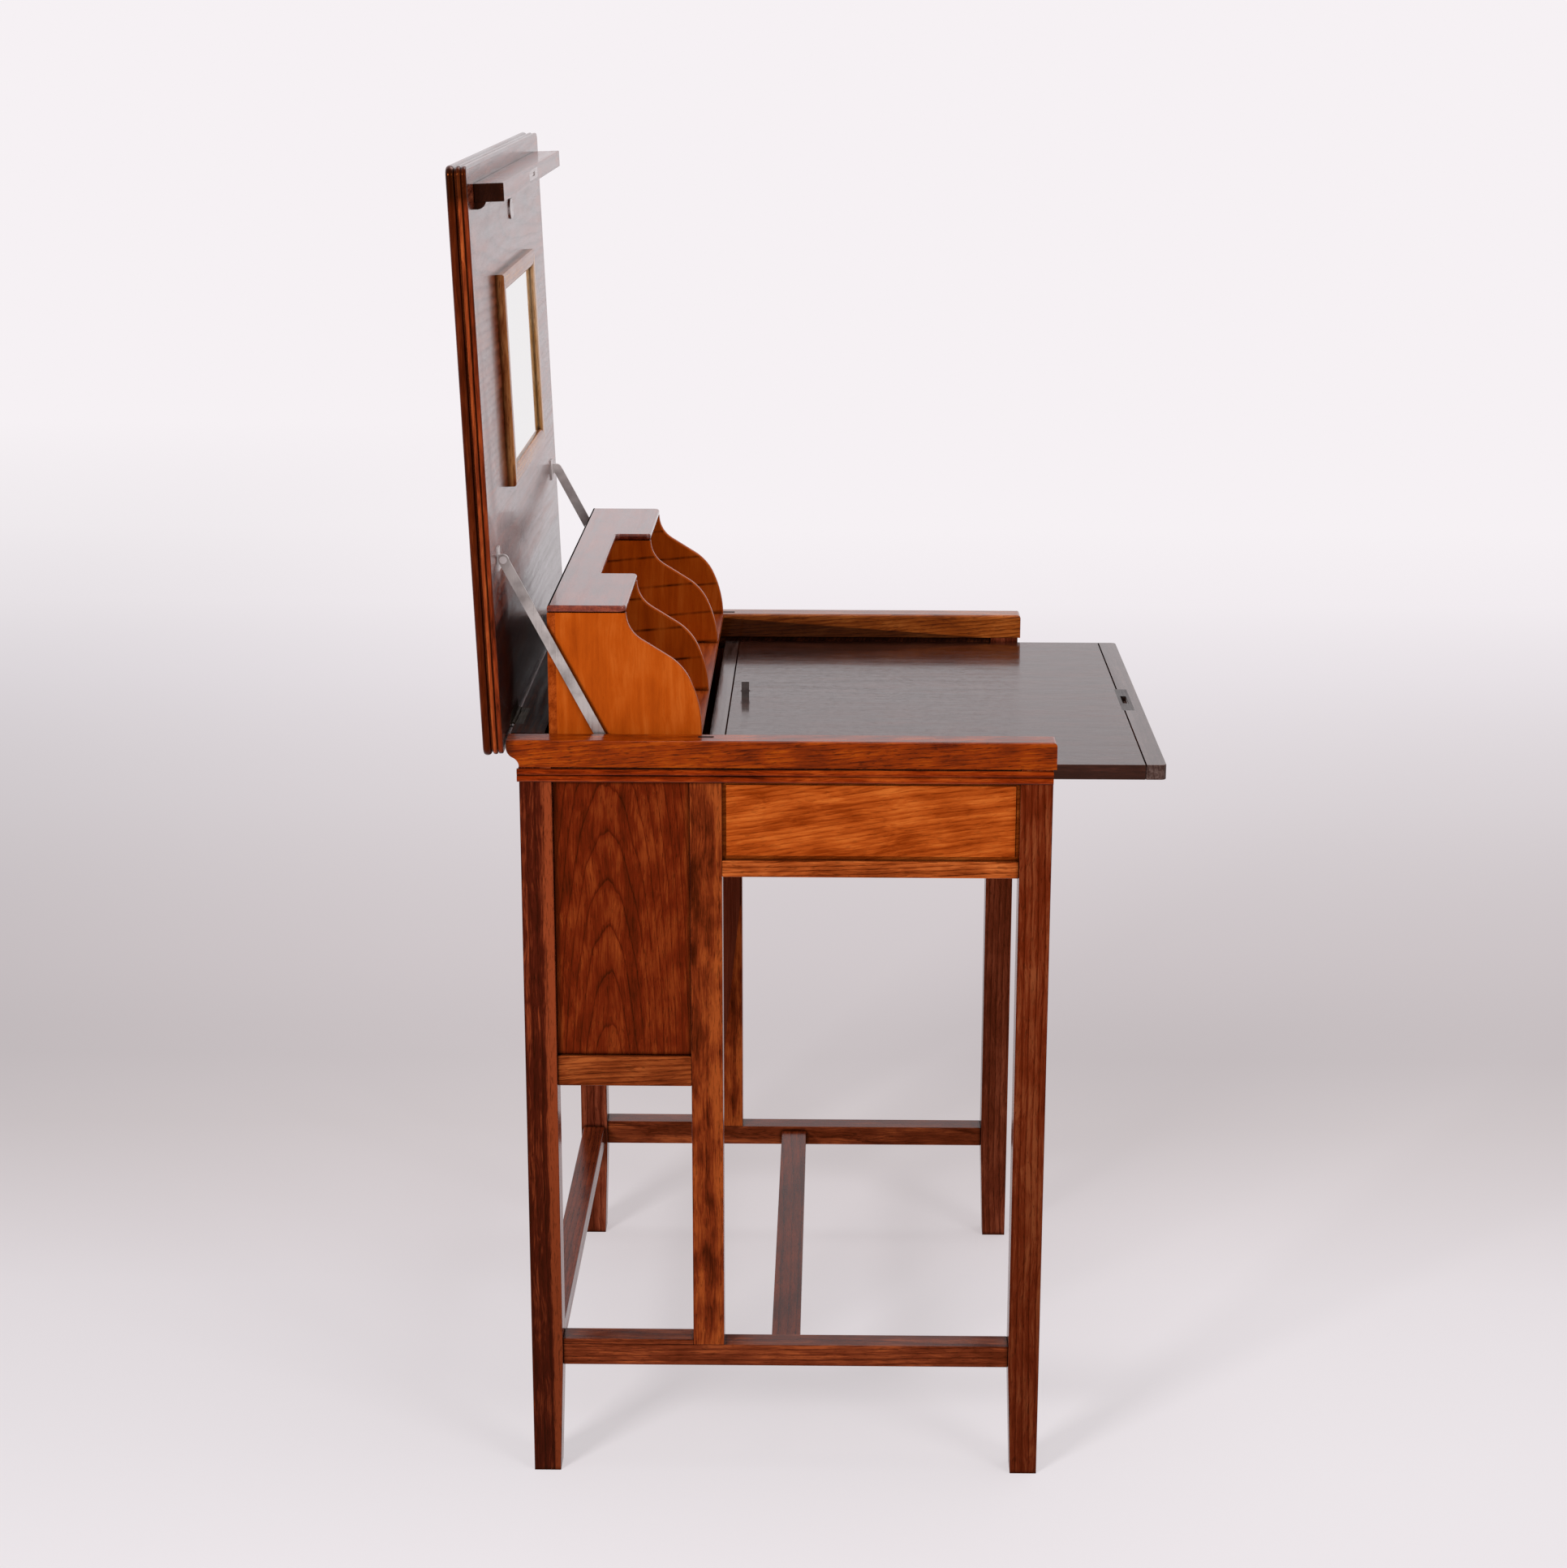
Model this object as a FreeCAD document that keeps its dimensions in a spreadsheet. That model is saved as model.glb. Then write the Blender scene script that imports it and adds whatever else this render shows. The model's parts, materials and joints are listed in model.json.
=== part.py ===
import FreeCAD, Part
import math
import os
import re

import Sketcher

# A lady's writing desk: a lid with a mirror that hinges at the back, a letter rack that two
# steel stays lift out of a tall rear box, a writing board that slides out, and a drawer.
# Origin on the floor under the middle of the desk, +Z up, the writer sits on the -Y side.

doc = FreeCAD.newDocument("writing_desk")

# Driving sizes, millimetres and degrees. Names ending in _low, _high, _front and _rear are levels.
SIZES = {
    # frame
    "half_width": 305, "half_depth": 256, "leg_side": 31, "foot_side": 27,
    "arris": 0.8, "seat_clearance": 0.3,
    "stretcher_low": 116.7, "stretcher_height": 22.6, "member_depth": 25, "member_set_back": 3,
    "slip_height": 5.5, "cross_width": 29, "cross_height": 17.5, "box_width": 132.2,
    # tall rear box and aprons
    "box_rail_low": 417.8, "box_rail_height": 30.9, "apron_rail_low": 634, "apron_rail_height": 16.5,
    "panel_thick": 9, "panel_set_back": 8, "field_border": 4, "field_height": 1.2,
    "box_front_set_in": 2.5, "box_front_thick": 10, "box_front_top_gap": 3, "box_floor_thick": 10,
    "floor_over_rail": 2.3, "back_member_depth": 20, "back_panel_gap": 6,
    # cheeks, ledge and bead moulding
    "cheek_low": 744, "cheek_height": 26, "cheek_width": 30, "cheek_overhang": 3, "cheek_behind": 12,
    "cheek_arris": 3.5, "ogee_lip": 7, "ogee_step_back": 6.4, "ogee_step_down": 10, "ogee_radius": 11,
    "ogee_foot_back": 5.7, "ogee_foot_radius": 9.8, "ledge_behind": 10.5, "ledge_depth": 32.5,
    "moulding_band": 14.5, "moulding_gap": 1.5, "bead_radius": 4.5, "bead_fillet": 0.6, "moulding_stand": 2,
    "plug_length": 15, "plug_width": 6, "plug_inset": 9, "plug_stand": 0.15,
    # lid, measured in its own plane from the hinge line
    "hinge_behind": 12, "hinge_sunk": 1, "lid_lean": 2.2, "lid_offset": 1.4, "lid_overhang": 15,
    "lid_thick": 19, "lid_below": 11, "lid_front_overhang": 18, "lid_corner": 9, "lid_arris": 2.6,
    "lid_bead": 7.5, "lid_groove": 2, "lid_groove_depth": 2.4, "core_inset": 1,
    "rail_from_edge": 28, "rail_thick": 17, "rail_proud": 28, "rail_end_gap": 2,
    "strip_width": 6.5, "strip_height": 11, "strip_radius": 9, "strip_lip": 1.5,
    "mirror_half_width": 145, "mirror_below_rail": 87, "mirror_height": 208, "frame_strip": 17,
    "frame_proud": 8, "rebate": 5, "rebate_depth": 3.5, "glass_thick": 3, "frame_arris": 2.5,
    "lock_x": -5, "lock_half_length": 30, "lock_depth": 10, "lock_height": 22, "selvedge_thick": 1.2,
    "selvedge_half_length": 38, "bolt_slot_half": 12, "bolt_slot_width": 4, "bolt_depth": 8,
    "catch_half_length": 14, "catch_x": 15, "catch_below_rail": 35, "catch_half_width": 10,
    "catch_thick": 1.5, "catch_round": 9,
    # hinges
    "hinge_from_cheek": 67.5, "hinge_length": 65, "leaf_thick": 1.1, "leaf_width": 9,
    "knuckle_radius": 2.5, "pin_radius": 1.1, "pin_clearance": 0.05, "knuckle_gap": 0.2,
    "gain_clearance": 0.35,
    # stays and their pivots
    "stay_gap": 2.8, "stay_thick": 2, "stay_half_width": 5, "pivot_radius": 170, "pivot_proud": 6,
    "rack_pivot_in": 55.3, "rack_pivot_below": 9.5, "rivet_radius": 2, "rivet_clearance": 0.06,
    "rivet_head_radius": 3.6, "rivet_head": 0.8, "head_gap": 0.1, "lug_thick": 2.2, "lug_half_width": 5,
    "bracket_foot": 1.4, "bracket_foot_width": 16, "bracket_half_length": 11, "open_pivot_gap": 0.45,
    # letter rack and its guides
    "rack_side_gap": 6, "rack_rear_gap": 4, "rack_depth": 148, "rack_over_board": 27, "rack_height": 127,
    "rack_board": 7, "rack_back_thick": 8, "rack_top_depth": 76, "notch_half": 107, "notch_strip": 39,
    "tail_length": 130, "ear_below": 10, "ear_clearance": 0.6, "front_slope": 32.1, "low_radius": 117,
    "low_turn": 24.9, "mid_radius": 55.2, "neck_radius": 30.6, "front_toe": 5, "plate_half_width": 9,
    "plate_thick": 1, "plate_foot": 12, "plate_below": 8,
    "guide_wall": 4, "guide_reach": 7.7, "guide_web": 1.7, "guide_side_gap": 1.3, "guide_top_gap": 4,
    # writing board
    "board_side_gap": 4, "board_sunk": 30, "board_thick": 15, "board_gap": 2, "board_reach": 112,
    "slide_travel": 106, "board_corner": 5, "cleat_width": 20, "cleat_rear_width": 16.5,
    "runner_gap": 0.3, "runner_width": 15, "runner_height": 14,
    "strike_half_length": 46.5, "strike_half_width": 6.5, "strike_thick": 1.2,
    "strike_hole_half": 16, "strike_hole_width": 3, "strike_hole_deep": 9,
    "pull_half_thick": 1, "pull_half_width": 4, "pull_height": 16.5, "pull_from_rear": 31.5,
    "pull_pin_radius": 1, "pull_pin_half": 5, "pull_pin_up": 6.6,
    # drawer
    "drawer_gap": 1.2, "drawer_front_thick": 19, "drawer_set_back": 3, "drawer_side_thick": 9,
    "drawer_rear_gap": 6.8, "drawer_side_gap": 1, "drawer_side_height": 54, "drawer_bottom_thick": 5,
    "drawer_bottom_up": 4, "drawer_runner_reach": 15, "drawer_runner_height": 12,
    "knob_radius": 8, "knob_neck_radius": 4, "knob_neck": 7, "knob_head": 7, "knob_arris": 2.5,
}

# Levels and places that follow from the driving sizes, as expressions of them.
FOLLOWING = {
    "leg_in_x": "half_width - leg_side",
    "leg_in_y": "half_depth - leg_side",
    "member_out": "half_width - member_set_back",
    "member_in": "member_out - member_depth",
    "post_rear": "leg_in_y - box_width",
    "post_front": "post_rear - leg_side",
    "stretcher_high": "stretcher_low + stretcher_height",
    "box_rail_high": "box_rail_low + box_rail_height",
    "apron_rail_high": "apron_rail_low + apron_rail_height",
    "floor_high": "box_rail_high + floor_over_rail",
    "panel_out": "half_width - panel_set_back",
    "moulding_low": "cheek_low - moulding_band",
    "beads_high": "cheek_low - moulding_gap",
    "cheek_high": "cheek_low + cheek_height",
    "cheek_in": "half_width - cheek_width",
    "cheek_front": "half_depth + cheek_overhang",
    "cheek_rear": "half_depth + cheek_behind",
    "ledge_rear": "half_depth + ledge_behind",
    "ledge_front": "ledge_rear - ledge_depth",
    "back_in": "half_depth - back_member_depth",
    "back_panel_front": "ledge_front + back_panel_gap",
    "box_front_front": "post_front + box_front_set_in",
    "box_front_rear": "box_front_front + box_front_thick",
    "board_high": "cheek_high - board_sunk",
    "board_low": "board_high - board_thick",
    "runner_high": "board_low - runner_gap",
    "board_half_width": "leg_in_x - board_side_gap",
    "board_front": "half_depth + board_reach",
    "board_rear": "rack_front - board_gap",
    "rack_half_width": "leg_in_x - rack_side_gap",
    "rack_rear": "ledge_front - rack_rear_gap",
    "rack_front": "rack_rear - rack_depth",
    "rack_back_front": "rack_rear - rack_back_thick",
    "wing_front": "rack_rear - rack_top_depth",
    "notch_rear": "rack_rear - notch_strip",
    "rack_low": "board_high + rack_over_board",
    "rack_high": "rack_low + rack_height",
    "rack_top_low": "rack_high - rack_board",
    "rack_bay_out": "rack_half_width - rack_board",
    "ear_half_width": "leg_in_x - guide_web - ear_clearance",
    "rack_pivot_y": "rack_rear - rack_pivot_in",
    "rack_pivot_z": "rack_low - rack_pivot_below",
    "hinge_y": "half_depth + hinge_behind",
    "hinge_z": "cheek_high - hinge_sunk",
    "hinge_x": "cheek_in - hinge_from_cheek",
    "lid_half_width": "half_width + lid_overhang",
    "lid_above": "hinge_y + half_depth + lid_front_overhang",
    "lid_outer": "lid_offset + lid_thick",
    "rail_centre": "lid_above - rail_from_edge",
    "rail_low": "rail_centre - rail_thick / 2",
    "rail_high": "rail_centre + rail_thick / 2",
    "rail_tip": "lid_offset - rail_proud",
    "rail_half_length": "cheek_in - rail_end_gap",
    "mirror_high": "rail_centre - mirror_below_rail",
    "mirror_low": "mirror_high - mirror_height",
    "glass_edge": "frame_strip - rebate",
    "strike_at": "rail_centre - hinge_y + slide_travel",
    "leaf_foot": "knuckle_radius + gain_clearance",
    "pivot_in_front": "pivot_proud - lid_offset",
    "pivot_y": "hinge_y - pivot_in_front * cos(lid_lean) + pivot_radius * sin(lid_lean)",
    "pivot_z": "hinge_z + pivot_in_front * sin(lid_lean) + pivot_radius * cos(lid_lean)",
    "stay_length": "sqrt((pivot_y - rack_pivot_y) ^ 2 + (pivot_z - rack_pivot_z) ^ 2)",
    "stay_lean": "atan((pivot_y - rack_pivot_y) / (pivot_z - rack_pivot_z))",
    "stay_inner": "rack_half_width + stay_gap",
    "stay_out": "stay_inner + stay_thick",
    "lug_out": "stay_inner - seat_clearance",
    "lug_in": "lug_out - lug_thick",
    "drawer_front": "half_depth - drawer_set_back",
    "drawer_in": "drawer_front - drawer_front_thick",
    "drawer_low": "apron_rail_high + seat_clearance",
    "drawer_side_out": "leg_in_x - runner_width - drawer_side_gap",
    "drawer_rear": "post_front - drawer_rear_gap",
}

sheet = doc.addObject("Spreadsheet::Sheet", "Sizes")
for row, (alias, size) in enumerate(SIZES.items(), start=1):
    sheet.set(f"A{row}", alias)
    sheet.set(f"B{row}", str(size))
    sheet.setAlias(f"B{row}", alias)
doc.recompute()

FUNCTIONS = ("cos", "sin", "sqrt", "atan", "deg")
parts = []


def bound(text):
    """The expression with every size name pointed at the sheet."""
    def link(match):
        word = match.group(0)
        if word in FOLLOWING:
            return "(" + bound(FOLLOWING[word]) + ")"
        return word if word in FUNCTIONS else "Sizes." + word
    return re.sub(r"[a-z_]+\b", link, text)


def value(text):
    """The number that an expression of size names gives."""
    result = sheet.evalExpression(bound(text))
    return float(getattr(result, "Value", result))


def side_span(side, inner, outer):
    """The lower and upper X of a piece between two distances from the middle plane."""
    if side > 0:
        return inner, outer
    return f"-({outer})", f"-({inner})"


def new_body(label, frame="desk"):
    """A body of its own, in the desk's frame, the lid's or the stays'."""
    body = doc.addObject("PartDesign::Body", label)
    body.Label = label
    if hasattr(body, "AllowCompound"):
        body.AllowCompound = True
    if frame == "lid":
        body.Placement = FreeCAD.Placement(FreeCAD.Vector(), FreeCAD.Rotation(FreeCAD.Vector(-1, 0, 0), 1))
        body.setExpression("Placement.Base.y", bound("hinge_y"))
        body.setExpression("Placement.Base.z", bound("hinge_z"))
        body.setExpression("Placement.Rotation.Angle", bound("lid_lean"))
    if frame == "stay":
        body.Placement = FreeCAD.Placement(FreeCAD.Vector(), FreeCAD.Rotation(FreeCAD.Vector(-1, 0, 0), 1))
        body.setExpression("Placement.Base.y", bound("pivot_y"))
        body.setExpression("Placement.Base.z", bound("pivot_z"))
        body.setExpression("Placement.Rotation.Angle", bound("stay_lean"))
    parts.append(body)
    return body


def block(body, x, y, z, cut=False):
    """Adds or cuts a box between three pairs of expressions."""
    kind = "PartDesign::SubtractiveBox" if cut else "PartDesign::AdditiveBox"
    feature = body.newObject(kind, "Cut" if cut else "Block")
    for size, axis, (low, high) in zip(("Length", "Width", "Height"), "xyz", (x, y, z)):
        feature.setExpression(size, bound(f"({high}) - ({low})"))
        feature.setExpression("Placement.Base." + axis, bound(low))
    doc.recompute()
    return feature


def rod(body, axis, start, length, centre, radius, cut=False):
    """Adds or cuts a cylinder along X or Y, from start, about the centre of the other two axes."""
    kind = "PartDesign::SubtractiveCylinder" if cut else "PartDesign::AdditiveCylinder"
    feature = body.newObject(kind, "Bore" if cut else "Rod")
    if axis == "x":
        turn = FreeCAD.Rotation(FreeCAD.Vector(0, 1, 0), 90)
        places = (start, centre[0], centre[1])
    else:
        turn = FreeCAD.Rotation(FreeCAD.Vector(1, 0, 0), -90)
        places = (centre[0], start, centre[1])
    feature.Placement = FreeCAD.Placement(FreeCAD.Vector(), turn)
    feature.setExpression("Radius", bound(radius))
    feature.setExpression("Height", bound(length))
    for letter, place in zip("xyz", places):
        feature.setExpression("Placement.Base." + letter, bound(place))
    doc.recompute()
    return feature


def round_edges(body, radius, chosen):
    """Rounds the edges of the tip that the function chosen picks."""
    base = body.Tip
    names = []
    for number, edge in enumerate(base.Shape.Edges, start=1):
        if chosen(edge):
            names.append(f"Edge{number}")
    fillet = body.newObject("PartDesign::Fillet", "Round")
    fillet.Base = (base, names)
    fillet.setExpression("Radius", bound(radius))
    doc.recompute()
    return fillet


def any_edge(edge):
    return True


def runs_along(edge, axis):
    """True for a straight edge along the axis 0, 1 or 2."""
    box = edge.BoundBox
    spans = [box.XLength, box.YLength, box.ZLength]
    long_side = spans.pop(axis)
    return long_side > 1e-6 and max(spans) < 1e-6


def outline(body, plane, start, steps, offset="0"):
    """A closed sketch: steps are (a, b) for a line, or (a, b, radius, turn) for an arc.

    turn is +1 where the path turns left and -1 where it turns right.
    """
    sketch = body.newObject("Sketcher::SketchObject", "Outline")
    origin = [item for item in body.Origin.OriginFeatures if item.Role == plane][0]
    sketch.AttachmentSupport = [(origin, "")]
    sketch.MapMode = "FlatFace"
    sketch.setExpression("AttachmentOffset.Base.z", bound(offset))
    here = start
    ends = []
    for step in steps:
        first = FreeCAD.Vector(value(here[0]), value(here[1]), 0)
        last = FreeCAD.Vector(value(step[0]), value(step[1]), 0)
        if len(step) == 2:
            number = sketch.addGeometry(Part.LineSegment(first, last))
            ends.append((number, 1, 2, None))
        else:
            radius, turn = value(step[2]), step[3]
            chord = last - first
            across = FreeCAD.Vector(-chord.y, chord.x, 0).normalize() * turn
            centre = (first + last) * 0.5 + across * math.sqrt(radius ** 2 - chord.Length ** 2 / 4)
            angles = [math.atan2(point.y - centre.y, point.x - centre.x) for point in (first, last)]
            circle = Part.Circle(centre, FreeCAD.Vector(0, 0, 1), radius)
            if turn < 0:
                angles.reverse()
            number = sketch.addGeometry(Part.ArcOfCircle(circle, *angles))
            ends.append((number, 1, 2, step[2]) if turn > 0 else (number, 2, 1, step[2]))
        here = step
    for order, (number, head, tail, radius) in enumerate(ends):
        point = start if order == 0 else steps[order - 1]
        follower = ends[(order + 1) % len(ends)]
        sketch.addConstraint(Sketcher.Constraint("Coincident", number, tail, follower[0], follower[1]))
        for kind, place in (("DistanceX", point[0]), ("DistanceY", point[1])):
            rule = Sketcher.Constraint(kind, -1, 1, number, head, value(place))
            index = sketch.addConstraint(rule)
            sketch.setExpression(f"Constraints[{index}]", bound(place))
        if radius:
            index = sketch.addConstraint(Sketcher.Constraint("Radius", number, value(radius)))
            sketch.setExpression(f"Constraints[{index}]", bound(radius))
    doc.recompute()
    return sketch


def extrude(body, sketch, length):
    """Pads a sketch along its plane's normal."""
    pad = body.newObject("PartDesign::Pad", "Pad")
    pad.Profile = sketch
    pad.setExpression("Length", bound(length))
    doc.recompute()
    return pad


def board(label, x, y, z, frame="desk", arris="arris"):
    """A plain board with softened arrises."""
    body = new_body(label, frame)
    block(body, x, y, z)
    round_edges(body, arris, any_edge)
    return body


def boards(label, spans, arris="arris"):
    """Several loose boards of one kind in one node."""
    body = new_body(label)
    for x, y, z in spans:
        block(body, x, y, z)
    round_edges(body, arris, any_edge)
    return body


SIDES = (("left", -1), ("right", 1))
BOTH = (-1, 1)
ENDS = (("front", -1), ("rear", 1))


# Frame: four legs, two mid posts and the stretchers between them.

def square(side, end, width):
    """A square on the leg's outer corner, as the corner points of an outline."""
    outer_x, outer_y = f"{side} * half_width", f"{end} * half_depth"
    inner_x, inner_y = f"{side} * (half_width - {width})", f"{end} * (half_depth - {width})"
    start = (outer_x, outer_y)
    return start, [(inner_x, outer_y), (inner_x, inner_y), (outer_x, inner_y), start]


def leg(label, side, end):
    """A square leg whose two inner faces taper below the stretchers."""
    body = new_body(label)
    start, steps = square(side, end, "foot_side")
    foot = outline(body, "XY_Plane", start, steps)
    start, steps = square(side, end, "leg_side")
    ankle = outline(body, "XY_Plane", start, steps, offset="stretcher_low")
    taper = body.newObject("PartDesign::AdditiveLoft", "Taper")
    taper.Profile = foot
    taper.Sections = [ankle]
    taper.Ruled = True
    doc.recompute()
    block(body, side_span(side, "leg_in_x", "half_width"), side_span(end, "leg_in_y", "half_depth"),
          ("stretcher_low", "cheek_low"))
    round_edges(body, "arris", lambda edge: runs_along(edge, 2))
    return body


for end_name, end in ENDS:
    for side_name, side in SIDES:
        leg(f"leg_{end_name}_{side_name}", side, end)

for side_name, side in SIDES:
    member_x = side_span(side, "member_in", "member_out")
    between_legs = ("-leg_in_y", "leg_in_y")
    board(f"mid_post_{side_name}", member_x, ("post_front", "post_rear"), ("stretcher_high", "moulding_low"))
    board(f"side_stretcher_{side_name}", member_x, between_legs, ("stretcher_low", "stretcher_high"))
    board(f"box_panel_{side_name}", side_span(side, "panel_out - panel_thick", "panel_out"),
          ("post_rear", "leg_in_y"), ("box_rail_high", "moulding_low"))

boards("stretcher_slips", [(side_span(side, "member_in", "member_out"), ("post_rear", "leg_in_y"),
                            ("stretcher_high", "stretcher_high + slip_height")) for side in BOTH])
board("rear_stretcher", ("-leg_in_x", "leg_in_x"),
      ("half_depth - member_set_back - member_depth", "half_depth - member_set_back"),
      ("stretcher_low", "stretcher_high"))
board("cross_stretcher", ("-member_in", "member_in"), ("-cross_width / 2", "cross_width / 2"),
      ("stretcher_low", "stretcher_low + cross_height"))


# Aprons: a fielded panel over a rail, each side of the knee space.

def apron_panel(label, side):
    """A thin panel with a slightly raised field."""
    body = new_body(label)
    block(body, side_span(side, "panel_out - panel_thick", "panel_out"), ("-leg_in_y", "post_front"),
          ("apron_rail_high", "moulding_low"))
    block(body, side_span(side, "panel_out", "panel_out + field_height"),
          ("-leg_in_y + field_border", "post_front - field_border"),
          ("apron_rail_high + field_border", "moulding_low - field_border"))
    return body


for side_name, side in SIDES:
    apron_panel(f"apron_panel_{side_name}", side)

boards("apron_rails", [(side_span(side, "member_in", "member_out"), ("-leg_in_y", "post_front"),
                        ("apron_rail_low", "apron_rail_high")) for side in BOTH])
boards("box_rails", [(side_span(side, "member_in", "member_out"), ("post_rear", "leg_in_y"),
                      ("box_rail_low", "box_rail_high")) for side in BOTH])

# Rear box: back, front and floor, and the top rails behind the moulding.

TOP_RAIL_Z = ("moulding_low", "cheek_low")
board("box_back_rail", ("-leg_in_x", "leg_in_x"), ("back_in", "half_depth - member_set_back"),
      ("box_rail_low", "box_rail_high"))
board("box_back_panel", ("-leg_in_x", "leg_in_x"), ("back_panel_front", "back_panel_front + panel_thick"),
      ("box_rail_high", "moulding_low"))
board("box_front_panel", ("-member_in", "member_in"), ("post_front + box_front_set_in", "box_front_rear"),
      ("box_rail_low", "board_low - box_front_top_gap"))
board("box_floor", ("-member_in", "member_in"), ("box_front_rear", "leg_in_y"),
      ("floor_high - box_floor_thick", "floor_high"))
boards("top_rails", [(side_span(side, "member_in", "half_width"), ("-leg_in_y", "leg_in_y"), TOP_RAIL_Z)
                     for side in BOTH] + [(("-leg_in_x", "leg_in_x"), ("back_in", "half_depth"), TOP_RAIL_Z)])


# Bead moulding: two small beads one above the other, mitred at the back corners.

def bead_steps(face, outward):
    """The outline of a fillet with two beads on it, going round from its foot on a face."""
    root = f"({face} + {outward} * bead_fillet)"
    middle = "(moulding_low + beads_high) / 2"
    return [(root, "moulding_low"), (root, middle, "bead_radius", outward),
            (root, "beads_high", "bead_radius", outward), (face, "beads_high"), (face, "moulding_low")]


def side_moulding(body, side):
    """The two beads along one side of the desk."""
    face = f"{side} * half_width"
    sketch = outline(body, "XZ_Plane", (face, "moulding_low"), bead_steps(face, side),
                     offset="-(half_depth + moulding_stand)")
    extrude(body, sketch, "2 * half_depth + moulding_stand")


mouldings = new_body("side_mouldings")
for side in BOTH:
    side_moulding(mouldings, side)
back_moulding = new_body("back_moulding")
extrude(back_moulding, outline(back_moulding, "YZ_Plane", ("half_depth", "moulding_low"),
                               bead_steps("half_depth", 1), offset="-half_width"), "2 * half_width")


# Cheeks and ledge: the top of the desk round the well, with an ogee at the back.

def ogee(rear):
    """The steps down the moulded back edge, from its top arris to the cheek's underside."""
    knee = "(cheek_high - ogee_lip)"
    waist_y, waist_z = f"({rear} - ogee_step_back)", f"({knee} - ogee_step_down)"
    return [(rear, knee), (waist_y, waist_z, "ogee_radius", -1),
            (f"{waist_y} - ogee_foot_back", "cheek_low", "ogee_foot_radius", 1)]


def cheek(label, side):
    """A side top rail with rounded top arrises."""
    body = new_body(label)
    low, high = side_span(side, "cheek_in", "half_width")
    steps = [("cheek_rear", "cheek_high")] + ogee("cheek_rear") + [("-cheek_front", "cheek_low")]
    steps += [("-cheek_front", "cheek_high")]
    sketch = outline(body, "YZ_Plane", ("-cheek_front", "cheek_high"), steps, offset=low)
    extrude(body, sketch, f"({high}) - ({low})")
    top = value("cheek_high")
    front = -value("cheek_front")
    round_edges(body, "cheek_arris", lambda edge: edge.BoundBox.ZMin > top - 1e-3 and
                (runs_along(edge, 1) or (runs_along(edge, 0) and edge.BoundBox.YMax < front + 1e-3)))
    return body


for side_name, side in SIDES:
    cheek(f"cheek_{side_name}", side)

plugs = new_body("cheek_plugs")
for side in BOTH:
    x_low, x_high = side_span(side, "cheek_in + plug_inset", "cheek_in + plug_inset + plug_width")
    plug_middle = "(post_front + leg_side / 2)"
    block(plugs, (x_low, x_high), (f"{plug_middle} - plug_length / 2", f"{plug_middle} + plug_length / 2"),
          ("cheek_high", "cheek_high + plug_stand"))


def hinge_spans():
    """Lower X of each hinge."""
    return ["hinge_x - hinge_length / 2", "-hinge_x - hinge_length / 2"]


ledge = new_body("rear_ledge")
ledge_steps = [("ledge_rear", "cheek_high")] + ogee("ledge_rear")
ledge_steps += [("ledge_front", "cheek_low"), ("ledge_front", "cheek_high")]
extrude(ledge, outline(ledge, "YZ_Plane", ("ledge_front", "cheek_high"), ledge_steps, offset="-cheek_in"),
        "2 * cheek_in")
for start in hinge_spans():
    block(ledge, (start, f"{start} + hinge_length"),
          ("ledge_rear - leaf_width", "ledge_rear + leaf_width"),
          ("cheek_high - leaf_thick", "cheek_high + leaf_thick"), cut=True)
    rod(ledge, "x", start, "hinge_length", ("hinge_y", "hinge_z"), "leaf_foot", cut=True)


# Hinges: five knuckles on one pin, three on the desk's leaf and two on the lid's.

def knuckle(body, start, number, centre, leaf, thick):
    """One knuckle of a leaf and the neck that joins it to the plate."""
    pitch = "(hinge_length / 5)"
    low = f"({start}) + {number} * {pitch} + knuckle_gap / 2"
    length = f"{pitch} - knuckle_gap"
    rod(body, "x", low, length, centre, "knuckle_radius")
    block(body, (low, f"({low}) + {length}"), leaf, thick)


def desk_leaves():
    """The leaves let into the ledge, with knuckles 1, 3 and 5."""
    body = new_body("hinge_desk_leaves")
    plate_rear = "hinge_y - leaf_foot"
    level = ("cheek_high - leaf_thick", "cheek_high")
    for start in hinge_spans():
        block(body, (start, f"{start} + hinge_length"), ("ledge_rear - leaf_width", plate_rear), level)
        for number in (0, 2, 4):
            knuckle(body, start, number, ("hinge_y", "hinge_z"), (f"{plate_rear} - arris", "hinge_y"), level)
        rod(body, "x", start, "hinge_length", ("hinge_y", "hinge_z"), "pin_radius + pin_clearance", cut=True)
    return body


def lid_leaves():
    """The leaves let into the lid, with knuckles 2 and 4."""
    body = new_body("hinge_lid_leaves", "lid")
    depth = ("lid_offset", "lid_offset + leaf_thick")
    for start in hinge_spans():
        block(body, (start, f"{start} + hinge_length"), depth, ("leaf_foot", "leaf_foot + leaf_width"))
        for number in (1, 3):
            knuckle(body, start, number, ("0", "0"), depth, ("0", "leaf_foot + arris"))
        rod(body, "x", start, "hinge_length", ("0", "0"), "pin_radius + pin_clearance", cut=True)
    return body


desk_leaves()
pins = new_body("hinge_pins")
for start in hinge_spans():
    rod(pins, "x", start, "hinge_length", ("hinge_y", "hinge_z"), "pin_radius")

# Runners and guides inside the desk.

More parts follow.
